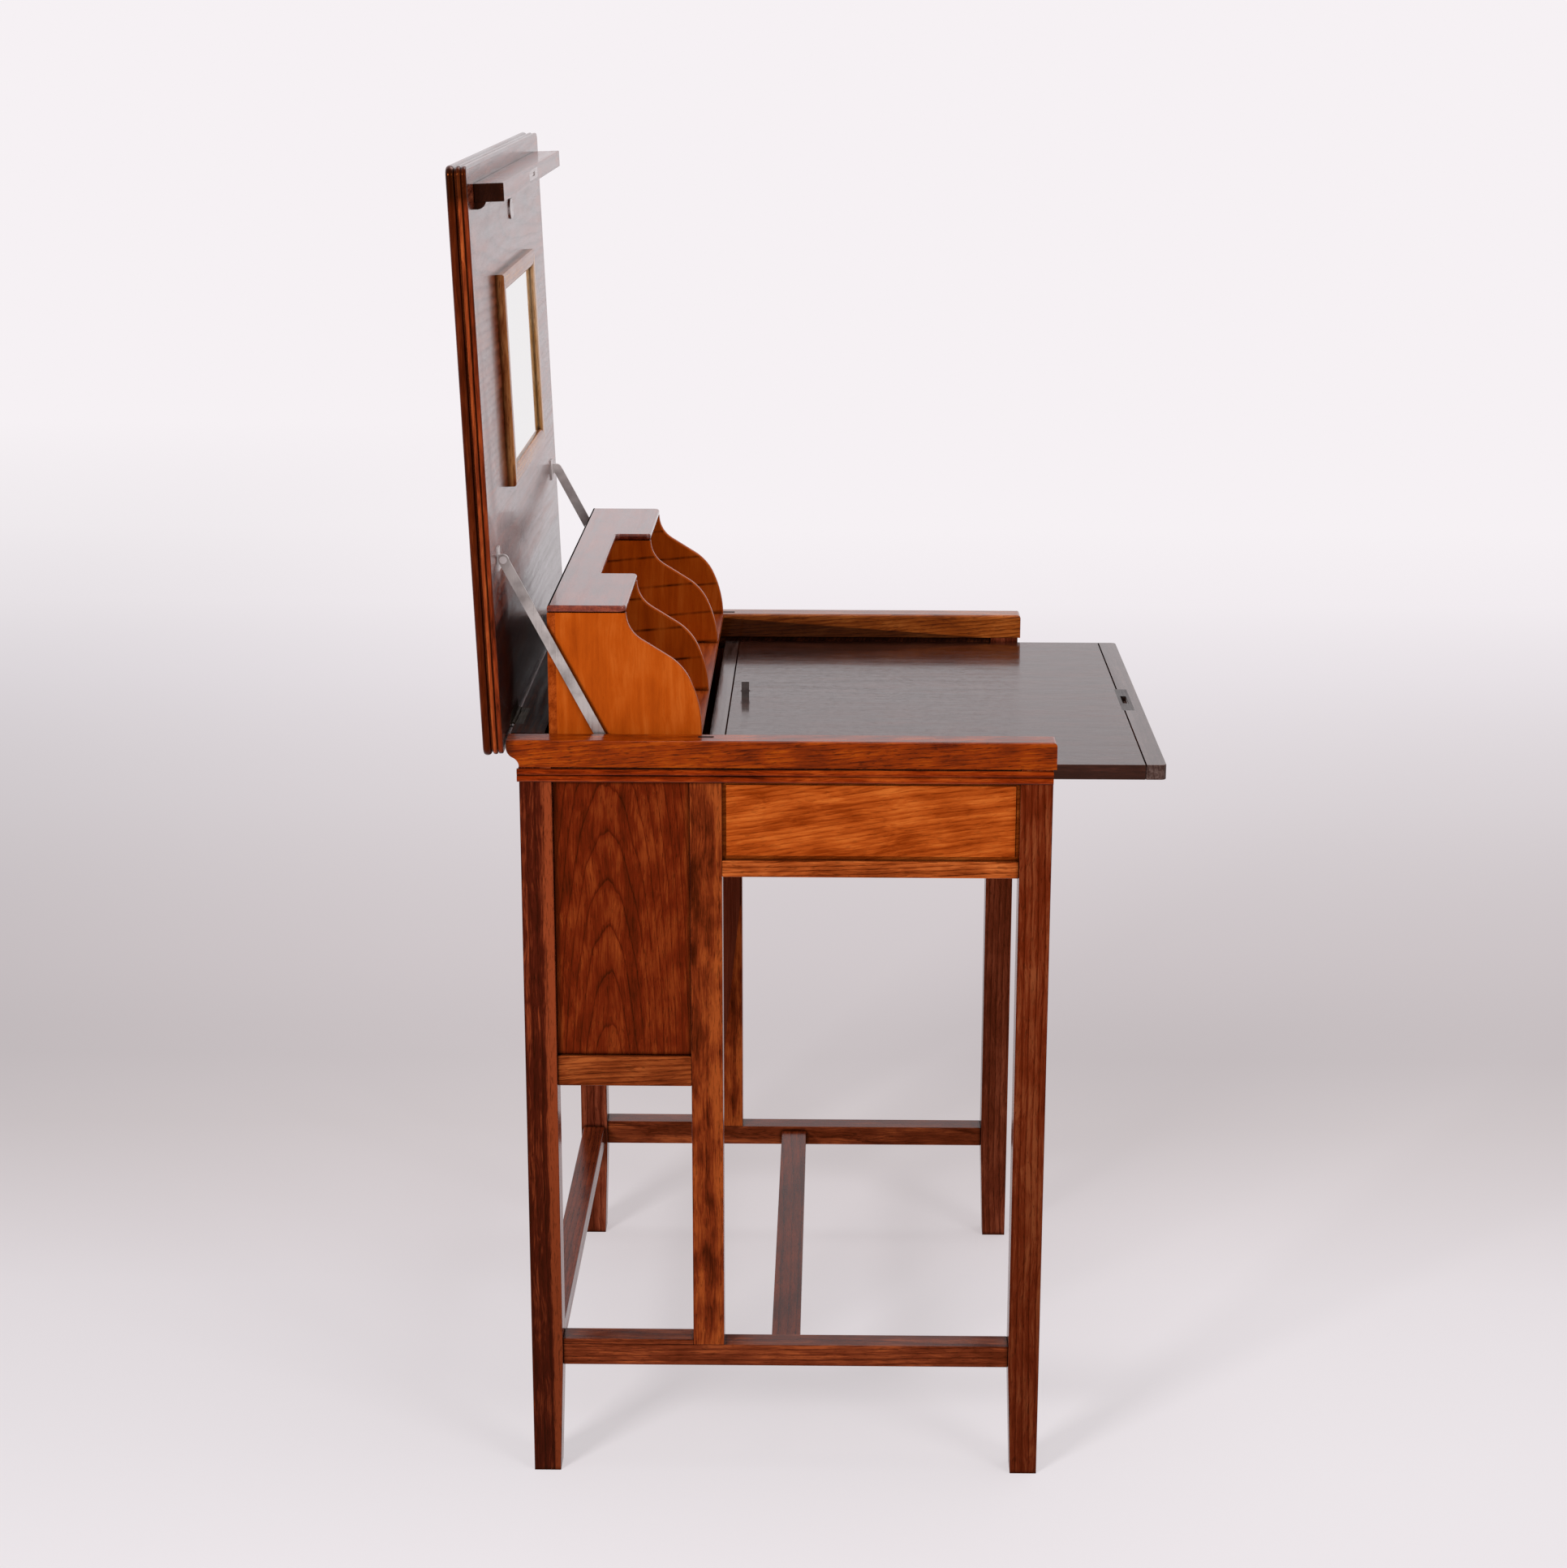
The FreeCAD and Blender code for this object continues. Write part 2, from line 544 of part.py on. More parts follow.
boards("slide_runners", [(side_span(side, "leg_in_x - runner_width", "member_in"),
                          ("-leg_in_y", "box_front_front"), ("runner_high - runner_height", "runner_high"))
                         for side in BOTH])
board("drawer_rail", ("-leg_in_x", "leg_in_x"),
      ("-half_depth + member_set_back", "-half_depth + member_set_back + member_depth"),
      ("apron_rail_low", "apron_rail_high"))
boards("drawer_runners", [(side_span(side, "leg_in_x - runner_width - drawer_runner_reach", "member_in"),
                           ("-leg_in_y", "box_front_front"),
                           ("apron_rail_high - drawer_runner_height", "apron_rail_high"))
                          for side in BOTH])


def rack_guides():
    """A grooved upright at each back corner of the box, in which the rack's tail slides."""
    body = new_body("rack_guides")
    level = ("floor_high", "cheek_low - guide_top_gap")
    front, rear = "rack_back_front - guide_reach", "rack_rear + guide_wall"
    for side in BOTH:
        wall_x = side_span(side, "rack_half_width + guide_side_gap", "leg_in_x")
        block(body, side_span(side, "leg_in_x - guide_web", "leg_in_x"), (front, rear), level)
        block(body, wall_x, (front, "rack_back_front - seat_clearance"), level)
        block(body, wall_x, ("rack_rear + seat_clearance", rear), level)
    return body


rack_guides()


# Lid, in a frame of its own: X along the hinge line, Z up the open lid, Y through it.

def lid_slab(body, inset, depth, corner):
    """A rounded slab of the lid between two depths, its edge drawn in by inset."""
    low_x, high_x = f"-(lid_half_width - {inset})", f"(lid_half_width - {inset})"
    low_z, high_z = f"(-lid_below + {inset})", f"(lid_above - {inset})"
    start = (f"{low_x} + {corner}", low_z)
    steps = [(f"{high_x} - {corner}", low_z), (high_x, f"{low_z} + {corner}", corner, 1),
             (high_x, f"{high_z} - {corner}"), (f"{high_x} - {corner}", high_z, corner, 1),
             (f"{low_x} + {corner}", high_z), (low_x, f"{high_z} - {corner}", corner, 1),
             (low_x, f"{low_z} + {corner}"), (f"{low_x} + {corner}", low_z, corner, 1)]
    sketch = outline(body, "XZ_Plane", start, steps, offset=f"-({depth[1]})")
    return extrude(body, sketch, f"({depth[1]}) - ({depth[0]})")


def lid_panel():
    """The lid board: two beads round its edge with a groove between them."""
    body = new_body("lid_panel", "lid")
    bead = "(lid_offset + lid_bead)"
    lid_slab(body, "0", ("lid_offset", bead), "lid_corner")
    lid_slab(body, "0", (f"{bead} + lid_groove", "lid_outer"), "lid_corner")
    round_edges(body, "lid_arris", any_edge)
    lid_slab(body, "lid_groove_depth", ("lid_offset + core_inset", "lid_outer - core_inset"),
             "(lid_corner - lid_groove_depth)")
    for start in hinge_spans():
        block(body, (start, f"{start} + hinge_length"), ("0", "lid_offset + leaf_thick"),
              ("0", "leaf_foot + leaf_width"), cut=True)
        rod(body, "x", start, "hinge_length", ("0", "0"), "leaf_foot", cut=True)
    return body


LOCK_ACROSS = ("rail_centre - lock_depth / 2", "rail_centre + lock_depth / 2")
LOCK_LONG = ("lock_x - lock_half_length", "lock_x + lock_half_length")
SELVEDGE_LONG = ("lock_x - selvedge_half_length", "lock_x + selvedge_half_length")


def lid_rail():
    """The deep rail along the lid's front edge, mortised for the lock."""
    body = new_body("lid_rail", "lid")
    block(body, ("-rail_half_length", "rail_half_length"), ("rail_tip", "lid_offset"),
          ("rail_low", "rail_high"))
    round_edges(body, "arris", any_edge)
    block(body, LOCK_LONG, ("rail_tip - arris", "rail_tip + lock_height"), LOCK_ACROSS, cut=True)
    block(body, SELVEDGE_LONG, ("rail_tip - arris", "rail_tip + selvedge_thick"), LOCK_ACROSS, cut=True)
    return body


def lid_rail_strip():
    """A small rounded strip in the corner between the rail and the lid, on the hinge side."""
    body = new_body("lid_rail_strip", "lid")
    foot = "rail_low - strip_width"
    steps = [("lid_offset", "rail_low"), ("lid_offset - strip_height", "rail_low"),
             ("lid_offset - strip_lip", foot, "strip_radius", 1), ("lid_offset", foot)]
    sketch = outline(body, "YZ_Plane", ("lid_offset", foot), steps, offset="-rail_half_length")
    extrude(body, sketch, "2 * rail_half_length")
    return body


GLASS_WIDE = ("-mirror_half_width + glass_edge", "mirror_half_width - glass_edge")
GLASS_TALL = ("mirror_low + glass_edge", "mirror_high - glass_edge")


def mirror_frame():
    """A mitred frame planted on the lid, rebated for the glass."""
    body = new_body("mirror_frame", "lid")
    depth = ("lid_offset - frame_proud", "lid_offset")
    block(body, ("-mirror_half_width", "mirror_half_width"), depth, ("mirror_low", "mirror_high"))
    front = value("lid_offset - frame_proud")
    round_edges(body, "frame_arris", lambda edge: edge.BoundBox.YMax < front + 1e-3)
    block(body, ("-mirror_half_width + frame_strip", "mirror_half_width - frame_strip"),
          ("lid_offset - frame_proud - arris", "lid_offset + arris"),
          ("mirror_low + frame_strip", "mirror_high - frame_strip"), cut=True)
    block(body, GLASS_WIDE, ("lid_offset - rebate_depth", "lid_offset + arris"), GLASS_TALL, cut=True)
    return body


lid_panel()
lid_rail()
lid_rail_strip()
mirror_frame()
glass = new_body("mirror_glass", "lid")
block(glass, GLASS_WIDE, ("lid_offset - rebate_depth", "lid_offset - rebate_depth + glass_thick"),
      GLASS_TALL)

lock = new_body("lock", "lid")
block(lock, LOCK_LONG, ("rail_tip + selvedge_thick", "rail_tip + lock_height"), LOCK_ACROSS)
block(lock, SELVEDGE_LONG, ("rail_tip", "rail_tip + selvedge_thick"), LOCK_ACROSS)
block(lock, ("lock_x - bolt_slot_half", "lock_x + bolt_slot_half"),
      ("rail_tip - arris", "rail_tip + bolt_depth"),
      ("rail_centre - bolt_slot_width / 2", "rail_centre + bolt_slot_width / 2"), cut=True)
bolt = new_body("lock_bolt", "lid")
block(bolt, ("lock_x - bolt_slot_half + seat_clearance", "lock_x + bolt_slot_half - seat_clearance"),
      ("rail_tip + selvedge_thick", "rail_tip + bolt_depth"),
      ("rail_centre - bolt_slot_width / 2 + seat_clearance",
       "rail_centre + bolt_slot_width / 2 - seat_clearance"))

catch = new_body("catch_plate", "lid")
block(catch, ("catch_x - catch_half_length", "catch_x + catch_half_length"),
      ("lid_offset - catch_thick", "lid_offset"),
      ("rail_centre - catch_below_rail - catch_half_width",
       "rail_centre - catch_below_rail + catch_half_width"))
round_edges(catch, "catch_round", lambda edge: runs_along(edge, 1))
lid_leaves()


def stay_brackets():
    """Angle brackets on the lid and the rivets that the stays turn on."""
    body = new_body("stay_brackets", "lid")
    pivot = "-pivot_in_front"
    for side in BOTH:
        block(body, side_span(side, "lug_in", "lug_out"), (pivot, "lid_offset"),
              ("pivot_radius - lug_half_width", "pivot_radius + lug_half_width"))
        low, high = side_span(side, "lug_in", "lug_out")
        rod(body, "x", low, f"({high}) - ({low})", (pivot, "pivot_radius"), "lug_half_width")
        block(body, side_span(side, "lug_out - bracket_foot_width", "lug_out"),
              ("lid_offset - bracket_foot", "lid_offset"),
              ("pivot_radius - bracket_half_length", "pivot_radius + bracket_half_length"))
        head_in = "(stay_out + head_gap)"
        low, high = side_span(side, "lug_out", head_in)
        rod(body, "x", low, f"({high}) - ({low})", (pivot, "pivot_radius"), "rivet_radius")
        low, high = side_span(side, head_in, f"{head_in} + rivet_head")
        rod(body, "x", low, f"({high}) - ({low})", (pivot, "pivot_radius"), "rivet_head_radius")
    return body


stay_brackets()


# Stays: flat steel, turning on the lid's rivets; each carries the rivet of its lower end.

def stay(label, side):
    """One flat stay with round ends."""
    body = new_body(label, "stay")
    low, high = side_span(side, "stay_inner", "stay_out")
    block(body, (low, high), ("-stay_half_width", "stay_half_width"), ("-stay_length", "0"))
    for level in ("0", "-stay_length"):
        rod(body, "x", low, f"({high}) - ({low})", ("0", level), "stay_half_width")
    rod(body, "x", low, f"({high}) - ({low})", ("0", "0"), "rivet_radius + rivet_clearance", cut=True)
    inner, outer = side_span(side, "rack_half_width + plate_thick + open_pivot_gap", "stay_out + rivet_head")
    rod(body, "x", inner, f"({outer}) - ({inner})", ("0", "-stay_length"), "rivet_radius")
    inner, outer = side_span(side, "stay_out", "stay_out + rivet_head")
    rod(body, "x", inner, f"({outer}) - ({inner})", ("0", "-stay_length"), "rivet_head_radius")
    return body


for side_name, side in SIDES:
    stay(f"stay_{side_name}", side)


# Letter rack: a base, sides and dividers with an ogee front, a notched top and a long back.

def rack_side_outline():
    """The steps of an upright: up the back, along the top, down the ogee front."""
    toe = "(rack_low + front_toe)"
    low_y = "(rack_front + low_radius * (1 - cos(low_turn)))"
    low_z = f"({toe} + low_radius * sin(low_turn))"
    mid_y = f"({low_y} + mid_radius * (cos(low_turn) - sin(front_slope)))"
    mid_z = f"({low_z} + mid_radius * (cos(front_slope) - sin(low_turn)))"
    neck_y = "(wing_front - neck_radius * (1 - sin(front_slope)))"
    neck_z = "(rack_top_low - neck_radius * cos(front_slope))"
    return [("rack_back_front", "rack_low"), ("rack_back_front", "rack_top_low"),
            ("wing_front", "rack_top_low"), (neck_y, neck_z, "neck_radius", -1), (mid_y, mid_z),
            (low_y, low_z, "mid_radius", 1), ("rack_front", toe, "low_radius", 1), ("rack_front", "rack_low")]


def rack_upright(body, low, high):
    """One upright of the rack between two X."""
    sketch = outline(body, "YZ_Plane", ("rack_front", "rack_low"), rack_side_outline(), offset=low)
    extrude(body, sketch, f"({high}) - ({low})")


uprights = new_body("rack_sides")
for side in BOTH:
    rack_upright(uprights, *side_span(side, "rack_half_width - rack_board", "rack_half_width"))
dividers = new_body("rack_dividers")
for side in BOTH:
    rack_upright(dividers, *side_span(side, "notch_half", "notch_half + rack_board"))

rack_base = new_body("rack_base")
for low, high in (("-rack_bay_out", "-(notch_half + rack_board)"), ("-notch_half", "notch_half"),
                  ("notch_half + rack_board", "rack_bay_out")):
    block(rack_base, (low, high), ("rack_front", "rack_back_front"), ("rack_low", "rack_low + rack_board"))

rack_top = new_body("rack_top")
block(rack_top, ("-rack_half_width", "rack_half_width"), ("wing_front", "rack_rear"),
      ("rack_top_low", "rack_high"))
round_edges(rack_top, "arris", any_edge)
block(rack_top, ("-notch_half", "notch_half"), ("wing_front - arris", "notch_rear"),
      ("rack_top_low - arris", "rack_high + arris"), cut=True)

rack_back = new_body("rack_back")
block(rack_back, ("-rack_half_width", "rack_half_width"), ("rack_back_front", "rack_rear"),
      ("rack_low - tail_length", "rack_top_low"))
block(rack_back, ("-ear_half_width", "ear_half_width"), ("rack_back_front", "rack_rear"),
      ("rack_low - tail_length", "rack_low - ear_below"))

plates = new_body("rack_pivot_plates")
PLATE_ACROSS = ("rack_pivot_y - plate_half_width", "rack_pivot_y + plate_half_width")
for side in BOTH:
    block(plates, side_span(side, "rack_half_width", "rack_half_width + plate_thick"), PLATE_ACROSS,
          ("rack_pivot_z - plate_below", "rack_low"))
    block(plates, side_span(side, "rack_half_width - plate_foot", "rack_half_width"), PLATE_ACROSS,
          ("rack_low - plate_thick", "rack_low"))


# Writing board: clamped ends, a strike plate for the lid's lock and a small upright pull.

STRIKE_LONG = ("lock_x - strike_half_length", "lock_x + strike_half_length")
STRIKE_ACROSS = ("-strike_at - strike_half_width", "-strike_at + strike_half_width")
HOLE_LONG = ("lock_x - strike_hole_half", "lock_x + strike_hole_half")
HOLE_ACROSS = ("-strike_at - strike_hole_width", "-strike_at + strike_hole_width")
BOARD_WIDE = ("-board_half_width", "board_half_width")
BOARD_TALL = ("board_low", "board_high")


def writing_board():
    """The board between its two cleats, cut for the edge of the strike plate."""
    body = new_body("writing_board")
    block(body, BOARD_WIDE, ("-board_front + cleat_width", "board_rear - cleat_rear_width"), BOARD_TALL)
    block(body, STRIKE_LONG, STRIKE_ACROSS, ("board_high - strike_thick", "board_high + arris"), cut=True)
    return body


def board_cleats():
    """The cross-grained ends of the board, the front one with round corners and the bolt's mortise."""
    body = new_body("board_cleats")
    block(body, BOARD_WIDE, ("-board_front", "-board_front + cleat_width"), BOARD_TALL)
    front = -value("board_front")
    round_edges(body, "board_corner",
                lambda edge: runs_along(edge, 2) and edge.BoundBox.YMax < front + 1e-3)
    block(body, STRIKE_LONG, STRIKE_ACROSS, ("board_high - strike_thick", "board_high + arris"), cut=True)
    block(body, HOLE_LONG, HOLE_ACROSS, ("board_high - strike_hole_deep", "board_high + arris"), cut=True)
    block(body, BOARD_WIDE, ("board_rear - cleat_rear_width", "board_rear"), BOARD_TALL)
    return body


def strike_plate():
    """The thin plate that the lid's bolt goes through when the board is in."""
    body = new_body("strike_plate")
    block(body, STRIKE_LONG, STRIKE_ACROSS, ("board_high - strike_thick", "board_high"))
    block(body, HOLE_LONG, HOLE_ACROSS, ("board_low", "board_high + arris"), cut=True)
    return body


writing_board()
board_cleats()
strike_plate()
PULL_AT = "(board_rear - pull_from_rear)"
pull = new_body("board_pull")
block(pull, ("-pull_half_thick", "pull_half_thick"),
      (f"{PULL_AT} - pull_half_width", f"{PULL_AT} + pull_half_width"),
      ("board_high", "board_high + pull_height"))
rod(pull, "y", f"{PULL_AT} - pull_pin_half", "2 * pull_pin_half", ("0", "board_high + pull_pin_up"),
    "pull_pin_radius")


# Drawer under the board: a front between the legs, two sides and a back, a thin bottom and a knob.

board("drawer_front", ("-leg_in_x + drawer_gap", "leg_in_x - drawer_gap"), ("-drawer_front", "-drawer_in"),
      ("apron_rail_high + drawer_gap", "board_low - 2 * drawer_gap"))
SIDE_TALL = ("drawer_low", "drawer_low + drawer_side_height")
drawer_box = new_body("drawer_sides_and_back")
for side in BOTH:
    block(drawer_box, side_span(side, "drawer_side_out - drawer_side_thick", "drawer_side_out"),
          ("-drawer_in", "drawer_rear"), SIDE_TALL)
BETWEEN_SIDES = ("-(drawer_side_out - drawer_side_thick)", "drawer_side_out - drawer_side_thick")
block(drawer_box, BETWEEN_SIDES, ("drawer_rear - drawer_side_thick", "drawer_rear"), SIDE_TALL)
drawer_bottom = new_body("drawer_bottom")
block(drawer_bottom, BETWEEN_SIDES, ("-drawer_in", "drawer_rear - drawer_side_thick"),
      ("drawer_low + drawer_bottom_up", "drawer_low + drawer_bottom_up + drawer_bottom_thick"))


def drawer_knob():
    """A small turned knob at the middle of the drawer front."""
    body = new_body("drawer_knob")
    centre = ("0", "(apron_rail_high + board_low) / 2")
    rod(body, "y", "-drawer_front - knob_neck", "knob_neck", centre, "knob_neck_radius")
    rod(body, "y", "-drawer_front - knob_neck - knob_head", "knob_head", centre, "knob_radius")
    root = value("-drawer_front - knob_neck") + 1e-3
    rim = value("knob_radius") - 1e-3
    round_edges(body, "knob_arris", lambda edge: edge.BoundBox.YMax < root and edge.BoundBox.YLength < 1e-3
                and edge.BoundBox.ZLength > 2 * rim)
    return body


drawer_knob()

# Check every object and write one STEP file for each sub-part.

doc.recompute()
faults = [item.Label for item in doc.Objects if {"Invalid", "Error"} & set(item.State)]
faults += [body.Label for body in parts if body.Shape.isNull() or not body.Shape.isValid()]
if faults:
    raise RuntimeError("failed objects: " + ", ".join(faults))

os.makedirs("parts", exist_ok=True)
for body in parts:
    body.Shape.exportStep(os.path.join("parts", body.Label + ".step"))
print(len(parts), "parts written")
print("stay length", round(value("stay_length"), 3), "lean", round(value("stay_lean"), 3))
print("stay pivot", round(value("pivot_y"), 3), round(value("pivot_z"), 3))
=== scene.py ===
# %% [markdown]
# # A lady's writing desk, dressed for its portrait
# The desk is already drawn as sixty solids, so every board is where it belongs. What is missing
# is what the eye enjoys: polished oak with its grain running the right way in each board, worn
# steel stays, a silvered mirror and the small mouldings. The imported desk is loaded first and
# never moved. New pieces are built around it, in metres, with +Z up and the writer on the -Y side.

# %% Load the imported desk
import json
import math

import bmesh
import bpy
from mathutils import Matrix, Vector


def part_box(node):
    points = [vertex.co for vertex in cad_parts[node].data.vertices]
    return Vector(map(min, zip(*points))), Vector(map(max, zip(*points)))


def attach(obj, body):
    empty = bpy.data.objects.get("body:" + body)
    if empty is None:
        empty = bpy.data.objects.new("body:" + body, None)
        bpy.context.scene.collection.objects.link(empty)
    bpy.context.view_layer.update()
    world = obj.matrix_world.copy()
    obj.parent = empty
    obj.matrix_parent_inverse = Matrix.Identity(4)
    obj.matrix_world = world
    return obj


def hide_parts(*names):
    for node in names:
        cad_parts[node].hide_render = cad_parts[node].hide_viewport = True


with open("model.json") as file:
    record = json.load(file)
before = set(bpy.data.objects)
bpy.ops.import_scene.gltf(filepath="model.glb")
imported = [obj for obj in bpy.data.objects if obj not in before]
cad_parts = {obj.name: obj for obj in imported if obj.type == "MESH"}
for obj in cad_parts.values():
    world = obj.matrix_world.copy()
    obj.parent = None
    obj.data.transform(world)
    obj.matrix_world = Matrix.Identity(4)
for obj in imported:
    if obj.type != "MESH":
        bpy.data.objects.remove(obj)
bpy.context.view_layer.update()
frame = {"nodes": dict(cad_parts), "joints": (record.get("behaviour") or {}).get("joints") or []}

MM = 0.001
nodes = frame["nodes"]

# %% [markdown]
# ## The viewpoint
# The desk is seen from its left side, from a little above the open lid, through a long lens, so
# that its lines stay nearly parallel. A camera is aimed here by yaw, pitch and roll, which says
# more to a reader than a matrix. The lens follows from the picture's width in pixels, and the
# shift moves the frame as a rising front does on a studio camera.

# %% Camera
PICTURE_WIDE, PICTURE_HIGH = 1931, 1932
FOCAL_PIXELS = 3555.68
CENTRE_U, CENTRE_V = 995.49, 912.17
EYE = Vector((-2.9687, -0.0465, 1.4658))
YAW, PITCH, ROLL = (math.radians(angle) for angle in (0.5535, 14.60, 0.18))
SENSOR = 36.0

forward = Vector((math.cos(YAW) * math.cos(PITCH), math.sin(YAW) * math.cos(PITCH), -math.sin(PITCH)))
level = Vector((math.sin(YAW), -math.cos(YAW), 0))
upright = level.cross(forward)
right = math.cos(ROLL) * level + math.sin(ROLL) * upright
up = -math.sin(ROLL) * level + math.cos(ROLL) * upright

lens = bpy.data.cameras.new("portrait_lens")
lens.sensor_fit = "HORIZONTAL"
lens.sensor_width = SENSOR
lens.lens = FOCAL_PIXELS * SENSOR / PICTURE_WIDE
lens.shift_x = (PICTURE_WIDE / 2 - CENTRE_U) / PICTURE_WIDE
lens.shift_y = (CENTRE_V - PICTURE_HIGH / 2) / PICTURE_WIDE
camera = bpy.data.objects.new("portrait_camera", lens)
bpy.context.scene.collection.objects.link(camera)
camera.matrix_world = Matrix.Translation(EYE) @ Matrix((right, up, -forward)).transposed().to_4x4()
bpy.context.scene.camera = camera
print("lens", round(lens.lens, 2), "mm, shift", round(lens.shift_x, 4), round(lens.shift_y, 4))

# %% [markdown]
# ## Colours and nodes
# Colours are written as the hex values a painter would pick on a screen. Blender mixes light in
# linear values, so one function turns a hex value into them. The other small functions add a
# shader node with its settings and links: any node, a sum on numbers or on vectors, and a range
# turned into another. Every material below is built with them.

# %% Small helpers


def colour(hex_value):
    """A screen hex value as linear red, green, blue and alpha."""
    parts = [int(hex_value[i:i + 2], 16) / 255 for i in (1, 3, 5)]
    return [c / 12.92 if c <= 0.04045 else ((c + 0.055) / 1.055) ** 2.4 for c in parts] + [1.0]


def add(tree, kind, inputs=None, **settings):
    """Adds a node. Settings are its properties, inputs are values or sockets to link from."""
    node = tree.nodes.new("ShaderNode" + kind)
    for name, setting in settings.items():
        setattr(node, name, setting)
    for socket, given in (inputs or {}).items():
        if isinstance(given, bpy.types.NodeSocket):
            tree.links.new(given, node.inputs[socket])
        else:
            node.inputs[socket].default_value = given
    return node


def number(tree, operation, *values):
    """The result of a sum on numbers, each a value or a socket."""
    return add(tree, "Math", dict(enumerate(values)), operation=operation).outputs[0]


def vector(tree, operation, *values, **named):
    """The result of a sum on vectors, which is a number for a length or a dot product."""
    node = add(tree, "VectorMath", {**dict(enumerate(values)), **named}, operation=operation)
    return node.outputs["Value" if operation in ("LENGTH", "DOT_PRODUCT") else "Vector"]


def remap(tree, value, start, end, low=0.0, high=1.0, **settings):
    """Turns the range from start to end into the one from low to high, and holds it there."""
    limits = {"Value": value, "From Min": start, "From Max": end, "To Min": low, "To Max": high}
    return add(tree, "MapRange", limits, **settings).outputs[0]


def new_material(name):
    """An empty material with its node tree and output."""
    material = bpy.data.materials.new(name)
    material.use_nodes = True
    material.node_tree.nodes.clear()
    return material, material.node_tree, add(material.node_tree, "OutputMaterial")


print("mid grey", [round(v, 3) for v in colour("#808080")])

# %% [markdown]
# ## The studio
# A polished desk shows its surroundings: seen from the side, the level tops and the open lid
# mirror whatever is behind them. The room is therefore a pale paper floor that reaches as far as
# the lens can see, and a white surround. Camera and mirror rays see both at their full white,
# while the light that the world itself gives stays low, so that the lamps do the modelling. The
# paper is shaded darker just behind the desk and to its left, as where lamps reach it less, and
# far behind both shades fade to the surround's own white, so that no horizon shows.

# %% White surround
PAPER = "#f6f1f4"
WORLD_LIGHT = 0.34
bpy.context.scene.view_settings.view_transform = "Standard"


def seen_directly(tree):
    """1 for camera, mirror and glass rays, 0 for the rays that light a surface."""
    path = add(tree, "LightPath").outputs
    first = number(tree, "MAXIMUM", path["Is Camera Ray"], path["Is Glossy Ray"])
    return number(tree, "MAXIMUM", first, path["Is Transmission Ray"])


world = bpy.data.worlds.new("white_surround")
world.use_nodes = True
world.node_tree.nodes.clear()
tree = world.node_tree
strength = remap(tree, seen_directly(tree), 0.0, 1.0, WORLD_LIGHT, 1.0)
surround = add(tree, "Background", {"Color": colour(PAPER), "Strength": strength})
tree.links.new(surround.outputs[0], add(tree, "OutputWorld").inputs["Surface"])
bpy.context.scene.world = world
print("surround", PAPER)

# %% [markdown]
# The paper is matt, so the eye reads only its shade and the desk's shadows on it. Its shade is a
# ramp of tones by distance behind the desk. Near the desk some of what is seen is the paper as
# the lamps light it, which carries the shadows. The rest glows in the tone itself, and far
# behind the desk all of it does.

# %% Paper floor
FLOOR_HALF = 90.0
TONES_FROM, TONES_TO = -2.0, 30.0
TONES = ((-0.3, "#f3eef1"), (0.1, "#eee8eb"), (0.3, "#e2dadc"), (0.6, "#d0c7c7"), (0.9, "#c8bfc0"),
         (1.3, "#d6cdcf"), (2.2, "#e5dee1"), (3.2, "#eee8ec"), (5.0, PAPER))
LIT_PAPER = "#e9e4e7"
LEFT_FROM, LEFT_TO, LEFT_LEVEL = 0.3, 2.1, 0.8
LEFT_FADES_FROM, LEFT_FADES_TO = 1.0, 7.0
GLOW_FROM, GLOW_TO, GLOW_SHARE = 0.8, 4.0, 0.58

paper, tree, output = new_material("matt_studio_paper")
depth, across, _ = add(tree, "SeparateXYZ", {0: add(tree, "NewGeometry").outputs["Position"]}).outputs
tone = add(tree, "ValToRGB", {0: remap(tree, depth, TONES_FROM, TONES_TO)})
for metres, hex_value in TONES:
    spot = (metres - TONES_FROM) / (TONES_TO - TONES_FROM)
    tone.color_ramp.elements.new(spot).color = colour(hex_value)
for end in (0, -1):
    tone.color_ramp.elements[end].color = colour(TONES[end][1])
lit = add(tree, "BsdfDiffuse", {"Color": colour(LIT_PAPER)})
left_level = remap(tree, depth, LEFT_FADES_FROM, LEFT_FADES_TO, LEFT_LEVEL, 1.0)
glow_level = remap(tree, across, LEFT_FROM, LEFT_TO, 1.0, left_level, interpolation_type="SMOOTHSTEP")
glow = add(tree, "Emission", {"Color": tone.outputs[0], "Strength": glow_level})
glow_share = remap(tree, depth, GLOW_FROM, GLOW_TO, GLOW_SHARE, 1.0)
share = number(tree, "MULTIPLY", seen_directly(tree), glow_share)
both = add(tree, "MixShader", {"Fac": share, 1: lit.outputs[0], 2: glow.outputs[0]})
tree.links.new(both.outputs[0], output.inputs["Surface"])

corners = [(x * FLOOR_HALF, y * FLOOR_HALF, 0) for x, y in ((-1, -1), (1, -1), (1, 1), (-1, 1))]
floor_mesh = bpy.data.meshes.new("studio_floor")
floor_mesh.from_pydata(corners, [], [(0, 1, 2, 3)])
floor_mesh.materials.append(paper)
floor = bpy.data.objects.new("studio_floor", floor_mesh)
bpy.context.scene.collection.objects.link(floor)
print("floor", 2 * FLOOR_HALF, "m square")

# %% [markdown]
# Two soft boxes stand left and right of the lens and a weak one hangs over the desk. The left
# one is the smaller and the stronger, so it draws the clearer shadows, which run away from the
# viewer to the right, and the wide one on the right softens them. Their powers are set so that
# a matt card beside the desk comes out in the colour that it was painted.

# %% Lamps


